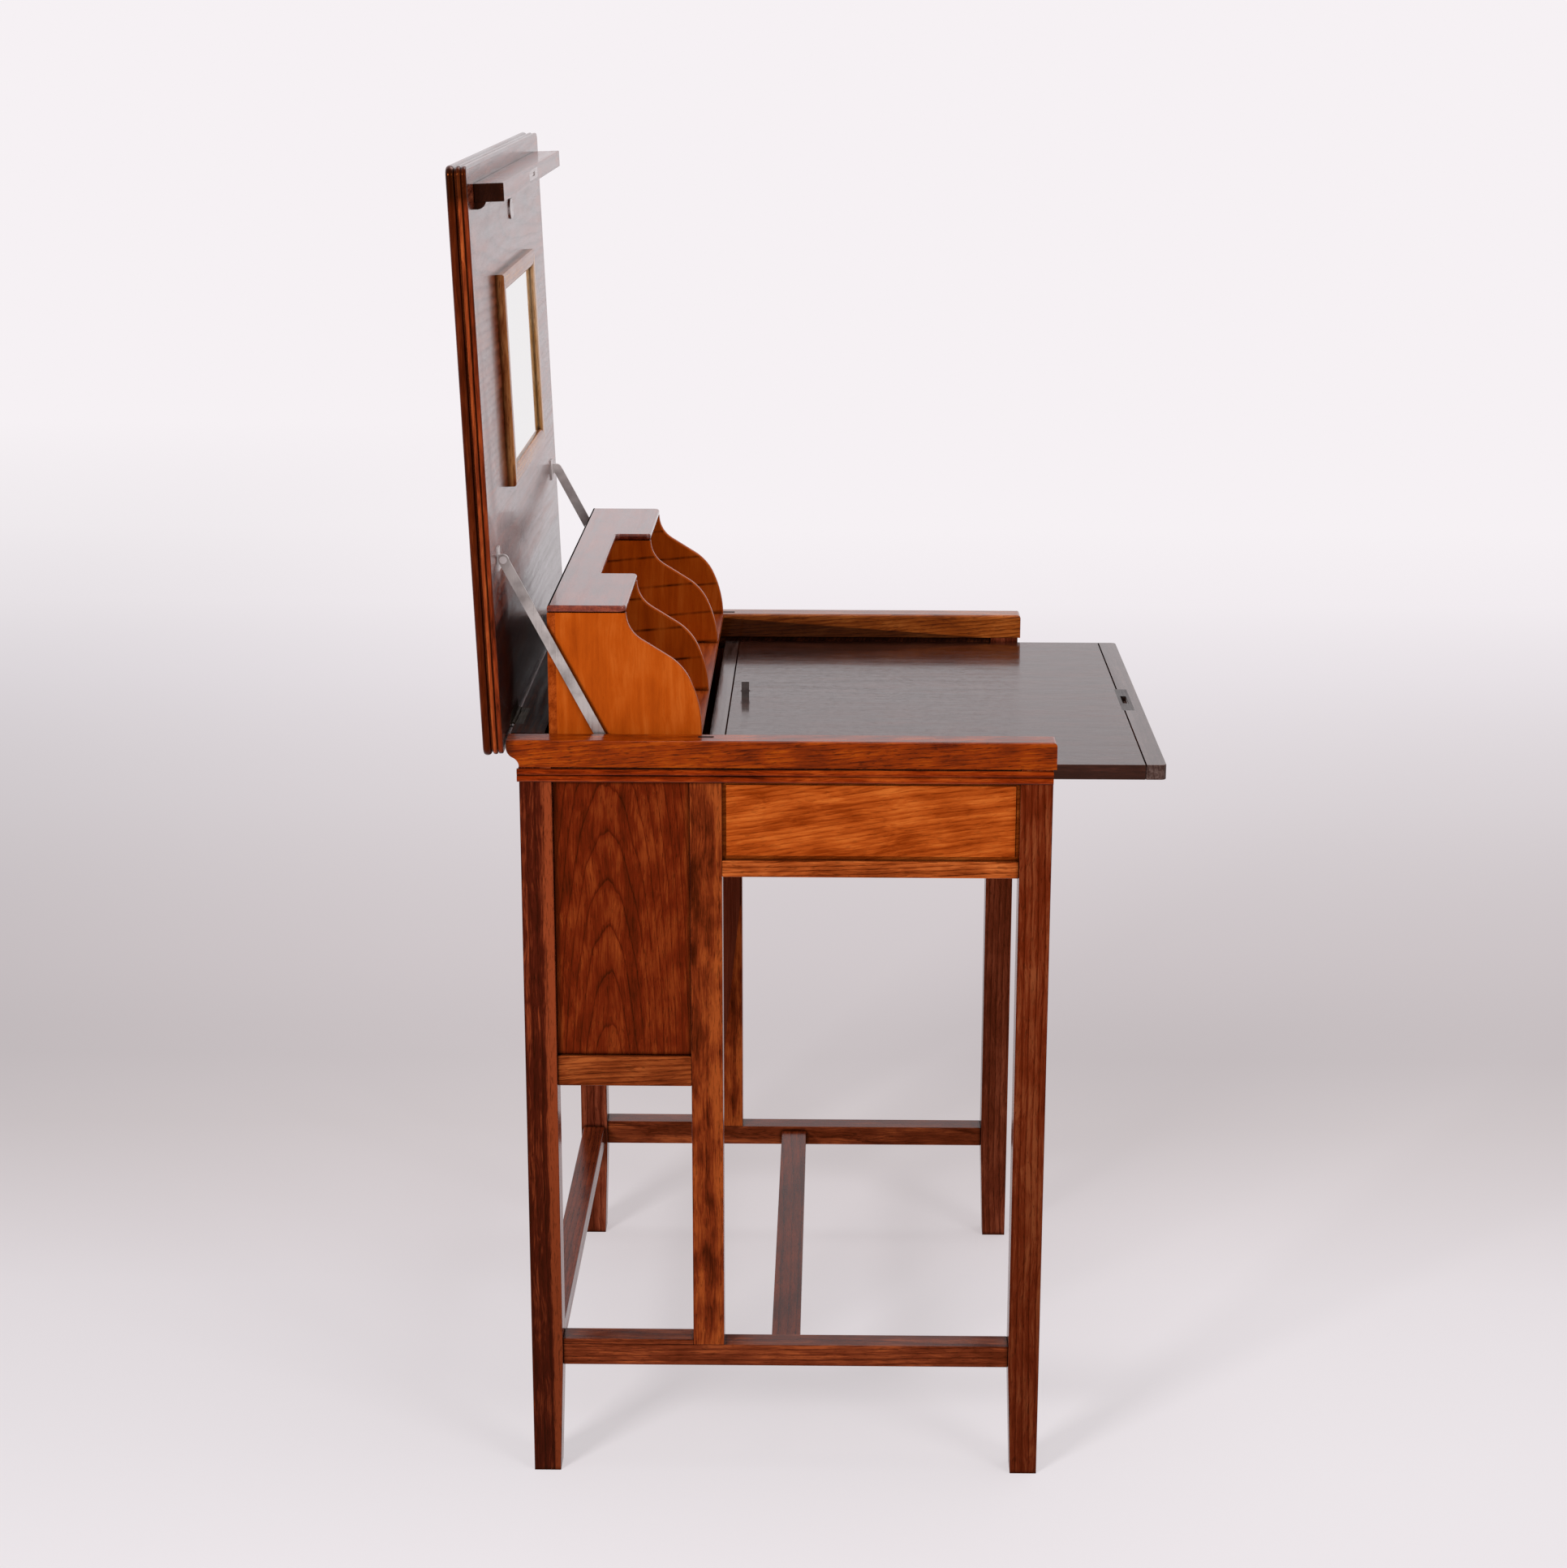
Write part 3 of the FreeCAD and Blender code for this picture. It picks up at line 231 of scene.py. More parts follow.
def soft_box(name, place, aim, size, power):
    """A square area lamp that looks at a point."""
    lamp = bpy.data.lights.new(name, "AREA")
    lamp.size = size
    lamp.energy = power
    holder = bpy.data.objects.new(name, lamp)
    bpy.context.scene.collection.objects.link(holder)
    holder.location = place
    holder.rotation_euler = (Vector(aim) - Vector(place)).to_track_quat("-Z", "Y").to_euler()


# each lamp's place and size in metres, and its power in watts
LAMPS = {"soft_box_front_side": ((-2.8, -2.6, 2.1), 1.3, 44),
         "soft_box_back_side": ((-2.9, 2.0, 1.9), 0.8, 92),
         "soft_box_overhead": ((0.2, -0.6, 3.2), 1.6, 28)}
DESK_MIDDLE = (0, 0, 0.7)
for name, (place, size, power) in LAMPS.items():
    soft_box(name, place, DESK_MIDDLE, size, power)

# %% [markdown]
# ## Polished oak
# The desk is oak, stained red-brown and French polished. Three things make such wood: growth
# rings, which draw arches where a flat face cuts them and straight lines at a board's edge;
# fibres along the trunk; and open pores, which show as short dark dashes. A picture of wood
# would look printed at every joint. Here each board is cut from a virtual tree instead: the
# distance from a leaning pith line gives the rings, so face and edge agree with one another.
# Polish is a clear film over dark wood. Looked at squarely it gives back little more than the
# wood's own warm colour, so its reflection there is tinted, while at a low angle it mirrors the
# room. The corners get a painted shade, which darkens them within a few millimetres.

# %% The oak material
AXES = {"X": ("X", "Y", "Z"), "Y": ("Y", "X", "Z"), "Z": ("Z", "X", "Y")}

# the cells of each noise, in mm along the grain and across it, and its detail
CELLS = {"wander": (90, 40, 2.0), "swing": (420, 150, 1.0), "wobble": (110, 12, 3.0),
         "streak": (230, 8, 4.0), "blotch": (45, 20, 5.0), "fibre": (26, 1.3, 3.0),
         "pore": (9, 0.9, 1.0), "ripple": (45, 16, 4.0)}
MIDDLE = 0.5
WOBBLE = 0.6

# a year of growth: greys at multiples of its dark line, then the pale late wood and both ends
LINE_GREYS, LATE_WOOD = ((0.35, 0.1), (1, 0.46), (2, 0.62)), (0.86, 0.72)
YEAR_START, YEAR_END, YEAR_MEAN = 0.3, 0.55, 0.58

# where the three stains lie on the scale of tones, and how strongly the layers move the tone
STAIN_SPOTS = (0.12, 0.52, 0.92)
STREAK_GAIN, BLOTCH_GAIN = 2.4, 2.6

# pores: the noise that opens one, how they gather early in a year, how dark and how deep they are
PORE_EDGES, PORE_GATHER, PORE_DARK, PORE_DEPTH = (0.31, 0.39), 0.12, 0.7, 0.8

# painted shade in corners: its reach in mm, what it leaves, and the openness over which it sets in
CORNER_SHADE_REACH, CORNER_SHADE_LEAVES, CORNER_SHADE_EDGES, CORNER_SHADE_SAMPLES = 5.0, 0.1, (0.5, 0.95), 6

# a dark line: its core in mm, and how unevenly it fades
DARK_LINE_CORE, DARK_LINE_EDGES, DARK_LINE_LEAVES = 0.3, (0.38, 0.62), (0.15, 0.75)

# the film: relief of the fibres in mm, spread of its roughness, and how it reflects
GRAIN_RELIEF = 0.015
GLOSS_EDGES, GLOSS_SPREAD = (0.3, 0.7), (0.8, 1.25)
POLISH_IOR, POLISH_TINT, COAT_ROUGHNESS = 1.55, "#b4571f", 0.06


def polished_oak(name, along, stain, rings=0.5, pitch=4.5, line=0.2, pith=(90, 90), lean=0.0, bend=12,
                 tilt=0.0, wander=14, streaks=0.5, patches=0.4, fibre=1.0, pores=0.6, gloss=0.2, shine=0.5,
                 coat=0.0, ripple=0.0, grain_open=1.0, sap=None, toned=None, scribed=None, seed=0.0):
    """Oak with its grain along an axis. Lengths are millimetres.

    Rings: their weight, pitch, the share of each that is dark, and pith, where the tree's middle
    would be at the origin in the two directions across the grain; lean is how fast the first of
    them drifts along it, tilt how fast the second does. Film: gloss is its roughness, shine its
    level, coat a second film, ripple its waves and grain_open how far fibres show in it. Marks,
    in order: a paler strip along an arris, a painted highlight that is partly wear (axis, two
    limits, lift); a darker zone, in one place a painted shade (direction, start, end, what is
    left, half width); and a set of dark lines (direction, first, pitch, half width).
    """
    material, tree, output = new_material("french_polished_oak_" + name)
    place = add(tree, "TexCoord").outputs["Object"]
    split = add(tree, "SeparateXYZ", {0: place}).outputs
    ways = [split[axis] for axis in AXES[along]]
    ways[2] = number(tree, "MULTIPLY_ADD", ways[0], tilt, ways[2])
    trunk = add(tree, "CombineXYZ", dict(enumerate(ways))).outputs[0]
    shifted = vector(tree, "ADD", trunk, (seed, seed, 0))

    def noise(kind, start=shifted):
        """The results of one kind of noise: a number, then a colour."""
        length, width, detail = CELLS[kind]
        cells = vector(tree, "MULTIPLY", start, (1 / (length * MM), 1 / (width * MM), 1 / (width * MM)))
        return add(tree, "TexNoise", {"Vector": cells, "Scale": 1.0, "Detail": detail}).outputs

    # no tree grows straight: the fibres wander sideways by a few millimetres
    sway = vector(tree, "SUBTRACT", noise("wander")["Color"], [MIDDLE] * 3)
    grain = vector(tree, "ADD", shifted, vector(tree, "MULTIPLY", sway, (0, wander * MM, wander * MM)))

    # growth rings: distance from the pith line, bent a little by slow noise
    swing = vector(tree, "SUBTRACT", noise("swing")["Color"], [MIDDLE] * 3)
    swing = vector(tree, "SCALE", swing, Scale=bend * MM)
    length, first, second = add(tree, "SeparateXYZ", {0: trunk}).outputs
    drift = number(tree, "MULTIPLY_ADD", length, -lean, -pith[0] * MM)
    flat = {1: number(tree, "ADD", first, drift), 2: number(tree, "SUBTRACT", second, pith[1] * MM)}
    bent = vector(tree, "ADD", add(tree, "CombineXYZ", flat).outputs[0], swing)
    radius = vector(tree, "LENGTH", vector(tree, "MULTIPLY", bent, (0, 1, 1)))
    wobble = number(tree, "MULTIPLY", noise("wobble")[0], WOBBLE)
    season = number(tree, "FRACT", number(tree, "MULTIPLY_ADD", radius, 1 / (pitch * MM), wobble))
    year = add(tree, "ValToRGB", {0: season})
    for spot, grey in [(line * share, grey) for share, grey in LINE_GREYS] + [LATE_WOOD]:
        year.color_ramp.elements.new(spot).color = (grey, grey, grey, 1)
    for end, grey in ((0, YEAR_START), (-1, YEAR_END)):
        year.color_ramp.elements[end].color = (grey, grey, grey, 1)

    # slow streaks of stain, blotches, fine fibres, and pores that gather where a ring starts
    streak, blotch, fibres = noise("streak", grain)[0], noise("blotch")[0], noise("fibre", grain)[0]
    early = remap(tree, season, line * 2, 0.0, 0.0, PORE_GATHER)
    pore = remap(tree, number(tree, "SUBTRACT", noise("pore", grain)[0], early), *PORE_EDGES)

    # all of them move one tone, and the stains are spread along its scale
    tone = number(tree, "MULTIPLY_ADD", year.outputs[0], rings, MIDDLE - YEAR_MEAN * rings)
    layers = (streak, streaks * STREAK_GAIN), (blotch, patches * BLOTCH_GAIN), (fibres, fibre)
    for layer, amount in layers:
        tone = number(tree, "MULTIPLY_ADD", number(tree, "SUBTRACT", layer, MIDDLE), amount, tone)
    # a paler strip along an arris: a painted highlight, partly wear
    if sap:
        axis, start, end, lift = sap
        strip = remap(tree, split[axis], start * MM, end * MM, lift, 0.0, interpolation_type="SMOOTHSTEP")
        tone = number(tree, "ADD", tone, strip)
    shade = add(tree, "ValToRGB", {0: tone})
    shade.color_ramp.elements.new(STAIN_SPOTS[1])
    for stop, spot, hex_value in zip(shade.color_ramp.elements, STAIN_SPOTS, stain):
        stop.position = spot
        stop.color = colour(hex_value)

    # pores, painted shade in corners, darker zones and dark lines each keep only a part of that colour
    keep = remap(tree, pore, 0.0, 1.0, 1 - PORE_DARK * pores, 1.0)
    # painted shade: corners and joins darken by how closed in they are, as shade would fall there
    corner = add(tree, "AmbientOcclusion", {"Distance": CORNER_SHADE_REACH * MM}, samples=CORNER_SHADE_SAMPLES)
    outside_corner_shade = remap(tree, corner.outputs["AO"], *CORNER_SHADE_EDGES, CORNER_SHADE_LEAVES, 1.0)
    keep = number(tree, "MULTIPLY", keep, outside_corner_shade)
    if toned:
        direction, start, end, left, half_width = toned
        level = vector(tree, "DOT_PRODUCT", place, direction)
        level = remap(tree, level, start * MM, end * MM, 1.0, left)
        away = number(tree, "GREATER_THAN", number(tree, "ABSOLUTE", split[0]), half_width * MM)
        keep = number(tree, "MULTIPLY", keep, number(tree, "MAXIMUM", level, away))
    if scribed:
        direction, first_line, apart, soft = scribed
        level = number(tree, "SUBTRACT", vector(tree, "DOT_PRODUCT", place, direction), first_line * MM)
        level = number(tree, "PINGPONG", level, apart * MM / 2)
        unevenly_left = remap(tree, blotch, *DARK_LINE_EDGES, *DARK_LINE_LEAVES)
        level = remap(tree, level, DARK_LINE_CORE * MM, soft * MM, unevenly_left, 1.0)
        keep = number(tree, "MULTIPLY", keep, level)
    finish = vector(tree, "SCALE", shade.outputs[0], Scale=keep)

    # relief: pores and fibres under the film, and on wide boards a slow ripple of the film
    relief = number(tree, "MULTIPLY_ADD", pore, PORE_DEPTH, fibres)
    deep = GRAIN_RELIEF * grain_open * MM
    bump = add(tree, "Bump", {"Height": relief, "Distance": deep, "Strength": 1.0})
    if ripple:
        wave = noise("ripple", grain)[0]
        film = add(tree, "Bump", {"Height": wave, "Distance": ripple * MM, "Strength": 1.0})
        tree.links.new(film.outputs[0], bump.inputs["Normal"])
    dull = remap(tree, streak, *GLOSS_EDGES, *(gloss * spread for spread in GLOSS_SPREAD))
    shader = add(tree, "BsdfPrincipled", {
        "Base Color": finish, "Roughness": dull, "IOR": POLISH_IOR, "Specular IOR Level": shine,
        "Specular Tint": colour(POLISH_TINT), "Coat Weight": coat, "Coat Roughness": COAT_ROUGHNESS,
        "Normal": bump.outputs[0]})
    tree.links.new(shader.outputs[0], output.inputs["Surface"])
    return material


print("grain axes:", ", ".join(AXES))

# %% [markdown]
# The polisher toned every board a little differently, and sun and hands did the rest: the aprons
# are the most golden, the rear legs the darkest. So the stains are a table of three colours, for
# the darkest grain, the body of the wood and the palest streaks. The rack's inner faces have a
# paler copy of its sides' stain, a painted light.

# %% Stains
STAINS = {
    "leg_rear": ("#200504", "#3c0f08", "#7c361c"),
    "leg_front": ("#451003", "#5d200d", "#773b20"),
    "leg_far": ("#42170c", "#602818", "#81412b"),
    "post": ("#310b03", "#64240d", "#8c411a"),
    "stretcher": ("#4a1b0a", "#652b16", "#914724"),
    "cross": ("#4c1b0e", "#6a2c15", "#863a20"),
    "rail": ("#471806", "#6f3013", "#924b22"),
    "panel": ("#2b0802", "#571706", "#803714"),
    "apron": ("#7a2c06", "#a04614", "#bb6024"),
    "apron_rail": ("#5e2208", "#94441a", "#bd6630"),
    "moulding": ("#400a02", "#7a2606", "#a44614"),
    "cheek_far": ("#562206", "#863f0f", "#b06228"),
    "cheek": ("#4c1402", "#7c2b02", "#9c4407"),
    "ledge": ("#120604", "#26100a", "#45200f"),
    "lid": ("#3a120a", "#672a1a", "#8f4a30"),
    "lid_edge": ("#1c0402", "#3e1205", "#5b240e"),
    "lid_bead": ("#48140a", "#853818", "#b8602e"),
    "lid_lip": ("#320e06", "#692610", "#96421e"),
    "frame_brown": ("#74381a", "#9c6238", "#be8450"),
    "frame_gold": ("#a8743e", "#c4966a", "#dcb48c"),
    "groove": ("#3c1408", "#5e2410", "#84421e"),
    "rack_side": ("#873306", "#a2450c", "#b95e20"),
    # a paler copy of the rack side's stain for the faces inside the rack: painted light
    "rack_inner_painted_lit": ("#923606", "#b04a0c", "#c86420"),
    "rack_back": ("#692204", "#87360c", "#a54b19"),
    "rack_top": ("#3e130b", "#6e2a1a", "#8c4228"),
    "board": ("#100604", "#26110b", "#402018"),
    "cleat": ("#1c1210", "#3a2c28", "#5a4a45"),
    "inside": ("#8a5a30", "#b07c48", "#c79a66"),
}
print("stains:", len(STAINS))

# %% [markdown]
# Some marks are no part of a stain. The near legs darken toward the floor, the near end of the
# lid's rail and the upper end of the lid's edge are nearly black, the lid has a painted shade low
# down behind the rack, and the far cheek is dark in a wedge along its foot. The quirks of the
# moulding are dark lines, and so are the faint ones inside the rack.

# %% Oak for each kind of board
oak = {}
UP = (0, 0, 1)
ALL_WIDTH = 400

# darker zones, one of them a painted shade, and dark lines, as polished_oak takes them
TOWARD_FLOOR_REAR, TOWARD_FLOOR_FRONT = (UP, 520, 200, 0.7, ALL_WIDTH), (UP, 520, 200, 0.75, ALL_WIDTH)
UPPER_END = (UP, 1270, 1282, 0.2, ALL_WIDTH)
NEAR_END = ((-1, 0, 0), 270, 272, 0.08, ALL_WIDTH)
# painted shade: the lid darkens low down, where it stands in the rack's shade
SHADE_BEHIND_RACK = ((0, 9, 1), 3354, 3340, 0.2, ALL_WIDTH)
CHEEK_FOOT = ((0, -0.0725, 1), 760.4, 759.2, 0.25, 276)
QUIRKS = (UP, 742.7, 6.6, 1.3)
RACK_LINES = ((0, 0.1, 1), 785, 33, 2.0)

# grain that several boards share
EDGE_GRAIN = {"rings": 0.15, "pitch": 4, "streaks": 0.3, "pith": (-290, 330), "patches": 0.3,
              "pores": 0.3, "toned": UPPER_END}
PANEL_GRAIN = {"rings": 0.55, "pitch": 6.0, "line": 0.09, "bend": 9, "streaks": 0.3, "patches": 0.4,
               "fibre": 0.7, "pores": 0.6}
RACK_GRAIN = {"rings": 0.1, "pitch": 9, "pith": (-360, 150), "patches": 0.3, "pores": 0.1, "gloss": 0.26}
INSIDE_GRAIN = {"rings": 0.5, "pitch": 4, "pith": (0, 500), "streaks": 0.3, "gloss": 0.5}


def cut(name, stain, along, **grain):
    """Cuts one board's oak and keeps it under a name."""
    oak[name] = polished_oak(name, along, STAINS[stain], **grain)


# legs, posts and stretchers: straight dark grain; on two of them a paler strip along an arris,
# a painted highlight that is partly wear
cut("leg_rear_near", "leg_rear", "Z", rings=0.4, pitch=8, line=0.3, streaks=0.35, pith=(-290, 330),
    lean=0.02, sap=("Y", 232, 237, 0.6), patches=0.3, toned=TOWARD_FLOOR_REAR, seed=0.3)
cut("leg_rear_far", "leg_far", "Z", rings=0.7, pitch=6, streaks=0.7, pith=(190, 330), seed=0.4)
cut("leg_front_near", "leg_front", "Z", rings=0.8, pitch=5.5, pith=(-250, -330), lean=-0.015,
    streaks=0.6, toned=TOWARD_FLOOR_FRONT, seed=1.7)
cut("leg_front_far", "leg_far", "Z", rings=0.7, pitch=5, pith=(190, -340), seed=1.9)
cut("post", "post", "Z", rings=0.25, pitch=5, streaks=0.35, patches=0.7, pith=(-150, 140), seed=2.4,
    sap=("Y", 67, 72, 0.25))
cut("stretcher", "stretcher", "Y", rings=0.7, pitch=5, pith=(-262, 60), lean=0.02, streaks=0.6,
    shine=0.32, seed=3.1)
cut("cross", "cross", "X", rings=0.6, pith=(60, 20), shine=0.25, seed=4.2)
cut("rail", "rail", "Y", rings=0.6, pitch=4, pith=(-240, 510), tilt=0.06, seed=5.9)

# panels: flat-sawn, so the rings draw bold arches; aprons: golden, with flame-like streaks
cut("panel_left", "panel", "Z", pith=(-332.4, 175), lean=0.12, seed=0.0, **PANEL_GRAIN)
cut("panel_right", "panel", "Z", pith=(332.4, 175), lean=-0.12, seed=0.1, **PANEL_GRAIN)
cut("apron", "apron", "Y", rings=0.4, pitch=5, line=0.25, pith=(-262, 600), lean=0.1, bend=40, tilt=0.12,
    wander=17, streaks=0.5, patches=0.45, fibre=0.9, pores=0.35, seed=6.3)
cut("apron_rail", "apron_rail", "Y", rings=0.7, pitch=4, pith=(-240, 560), tilt=0.03, seed=7.7)

# mouldings and cheeks: red-brown, the cheeks with a thin second film; the ledge dark and dull
cut("moulding", "moulding", "Y", rings=0.3, pitch=4, pith=(-250, 690), streaks=0.35,
    scribed=QUIRKS, seed=8.8)
cut("back_moulding", "moulding", "X", rings=0.4, pitch=4, pith=(210, 690), seed=8.9)
cut("cheek", "cheek", "Y", rings=0.35, pitch=4.5, pith=(-262, 850), tilt=0.08, streaks=0.3, patches=0.6,
    fibre=0.95, coat=0.08, pores=0.8, seed=9.4)
cut("cheek_far", "cheek_far", "Y", rings=0.5, pitch=4.5, pith=(262, 850), tilt=0.08, streaks=0.25,
    toned=CHEEK_FOOT, fibre=0.9, coat=0.16, seed=9.7)
cut("ledge", "ledge", "X", rings=0.5, pith=(180, 850), gloss=0.5, shine=0.05, seed=10.2)

# the lid: a wide glossy board whose film ripples, with edges that are nearly black
cut("lid", "lid", "X", rings=0.7, pitch=7, pith=(230, 1250), lean=0.05, streaks=0.7, gloss=0.17,
    ripple=0.2, coat=0.12, grain_open=4, toned=SHADE_BEHIND_RACK, seed=11.5)
for name, seed in (("lid_edge", 12.1), ("lid_bead", 12.3), ("lid_lip", 12.5)):
    cut(name, name, "Z", seed=seed, **EDGE_GRAIN)
cut("lid_groove", "groove", "Z", rings=0.3, pitch=4, pith=(-290, 330), seed=12.7)
cut("lid_ends", "lid_edge", "X", rings=0.5, pitch=4, streaks=0.8, coat=0.4, pith=(290, 1330), seed=12.8)
cut("lid_rail", "lid", "X", rings=0.6, pith=(170, 1250), coat=0.12, toned=NEAR_END, gloss=0.17,
    grain_open=3, seed=12.6)

# the mirror's frame: each strip's own tone makes the mitres show
cut("frame_flat", "frame_brown", "X", rings=0.5, pith=(240, 900), seed=13.3)
cut("frame_near", "frame_brown", "Z", rings=0.5, pith=(-90, 300), patches=0.5, seed=13.6)
cut("frame_far", "frame_gold", "Z", rings=0.5, pith=(90, 300), seed=13.9)

# the rack: plain honey-coloured wood, and a top that shines like the lid
cut("rack_side", "rack_side", "Z", streaks=0.3, fibre=0.25, seed=14.4, **RACK_GRAIN)
# the faces inside the rack that look toward the viewer: a paler copy of the side's oak, painted light
cut("rack_inner_painted_lit", "rack_inner_painted_lit", "Z", streaks=0.4, fibre=0.3, scribed=RACK_LINES, seed=14.9, **RACK_GRAIN)
cut("rack_top", "rack_top", "X", rings=0.3, pith=(190, 800), pores=0.2, ripple=0.12, coat=0.6,
    gloss=0.18, grain_open=1.5, seed=15.5)
cut("rack_back", "rack_back", "X", rings=0.3, pitch=8, pith=(170, 760), pores=0.2, gloss=0.4, seed=16.1)

# the writing board: nearly black with use and glossy, with dull dark dust in its open joints
cut("board", "board", "Y", rings=0.4, pitch=7, pith=(60, 660), lean=0.03, pores=0.4, gloss=0.15,
    ripple=0.2, coat=0.25, grain_open=2.5, seed=17.2)
cut("cleat", "cleat", "X", rings=0.4, pitch=5, pith=(20, 660), pores=0.4, gloss=0.15, coat=0.25,
    ripple=0.15, seed=18.3)
cut("joint_dust", "ledge", "X", rings=0.0, shine=0.0, gloss=0.8, seed=18.9)

# drawer front and box: toned like the outside; the insides, never polished, are pale and dull
cut("drawer_front", "apron", "X", rings=0.6, pitch=6, pith=(-220, 600), lean=0.06, pores=0.7, seed=19.1)
cut("box_back", "panel", "X", rings=0.5, pitch=6, line=0.15, pith=(170, 560), lean=0.08, bend=9,
    streaks=0.3, fibre=0.7, seed=19.4)
cut("box_front", "leg_far", "Z", rings=0.6, pitch=6, pith=(30, 300), gloss=0.6, shine=0.0, seed=19.7)
cut("inside", "inside", "Y", seed=20.7, **INSIDE_GRAIN)
cut("inside_cross", "inside", "X", seed=21.4, **INSIDE_GRAIN)
print("oak boards:", len(oak))

# %% [markdown]
# ## Metals and mirror
# The stays are rolled steel, dull grey with scratches along them and bright where they rub. The
# lock and its catch plate are steel that is still polished, the strike plate is steel gone dull,
# the hinges are brass that has gone brown, and the small pull is nickel. Metal has no colour of
# its own beyond its reflection's, so the base colour is that reflection and the roughness says
# how it was worked. The mirror is silvered glass: a nearly white metal with hardly any roughness.

# %% Metals and mirror glass
PATCHES_PER_METRE, PATCH_EDGES = 45.0, (0.42, 0.72)
SCRATCH_LENGTH, SCRATCH_DEPTH, SCRATCH_STRENGTH = 40, 0.02, 0.4
SCRATCH_EDGES, SCRATCH_SPREAD = (0.3, 0.7), (0.75, 1.3)
SILVER, SILVER_HAZE, HAZE_PER_METRE = "#eef4ef", (0.02, 0.06), 14.0


def worked_metal(name, bright, tarnish, roughness, scratch_along, scratch_mm):
    """A metal with tarnish in soft patches and fine scratches along one axis."""
    material, tree, output = new_material(name)
    place = add(tree, "TexCoord").outputs["Object"]
    patches = add(tree, "TexNoise", {"Vector": place, "Scale": PATCHES_PER_METRE, "Detail": 4.0})
    widths = [1 / (scratch_mm * MM)] * 3
    widths["XYZ".index(scratch_along)] = 1 / (SCRATCH_LENGTH * MM)
    lined = vector(tree, "MULTIPLY", place, widths)
    scratches = add(tree, "TexNoise", {"Vector": lined, "Scale": 1.0, "Detail": 2.0}).outputs[0]
    shade = add(tree, "Mix", {"Factor": remap(tree, patches.outputs[0], *PATCH_EDGES),
                              "A": colour(bright), "B": colour(tarnish)}, data_type="RGBA")
    rough = remap(tree, scratches, *SCRATCH_EDGES, *(roughness * spread for spread in SCRATCH_SPREAD))
    bump = add(tree, "Bump", {"Height": scratches, "Distance": SCRATCH_DEPTH * MM,
                              "Strength": SCRATCH_STRENGTH})
    shader = add(tree, "BsdfPrincipled", {"Base Color": shade.outputs["Result"], "Metallic": 1.0,
                                          "Roughness": rough, "Normal": bump.outputs[0]})
    tree.links.new(shader.outputs[0], output.inputs["Surface"])
    return material


# one rolled steel in two copies: the far stay's is pale grey, a painted light where it catches
# the lamps, and serves the small parts too; the near stay's is darker and glossier, with streaks of light
steel = worked_metal("rolled_steel_painted_light", "#e6e1df", "#b5adab", 0.45, "Z", 0.6)
near_stay_steel = worked_metal("rolled_steel_near_stay", "#bcb4b0", "#7e7673", 0.34, "Z", 0.8)
# polished nickel gives one sharp glint, tarnished brass hardly any
nickel = worked_metal("nickel_polished", "#8c8480", "#5e5654", 0.12, "Z", 0.5)
brass = worked_metal("tarnished_brass", "#4a4034", "#2a231c", 0.6, "X", 0.5)
# a dulled plate all but sinks into the dark wood, a polished one stands out from it
plate = worked_metal("steel_plate_dulled", "#4c4644", "#302b29", 0.35, "X", 0.5)
bright_plate = worked_metal("steel_plate_polished", "#bdb3b1", "#968c89", 0.25, "X", 0.5)

# silvered glass gives the room back almost unchanged, with a slight haze of age
silver, tree, output = new_material("silvered_mirror_glass")
place = add(tree, "TexCoord").outputs["Object"]
haze = add(tree, "TexNoise", {"Vector": place, "Scale": HAZE_PER_METRE, "Detail": 3.0}).outputs[0]
shader = add(tree, "BsdfPrincipled", {"Base Color": colour(SILVER), "Metallic": 1.0,
                                      "Roughness": remap(tree, haze, 0.0, 1.0, *SILVER_HAZE)})
tree.links.new(shader.outputs[0], output.inputs["Surface"])
print("metals:", steel.name, brass.name, plate.name, silver.name)

# %% [markdown]
# ## Finishes on the solids
# Most boards of the drawn desk already have their true shape, down to the softened arrises, and
# only need their finish. The table gives each solid its board of oak or its metal.

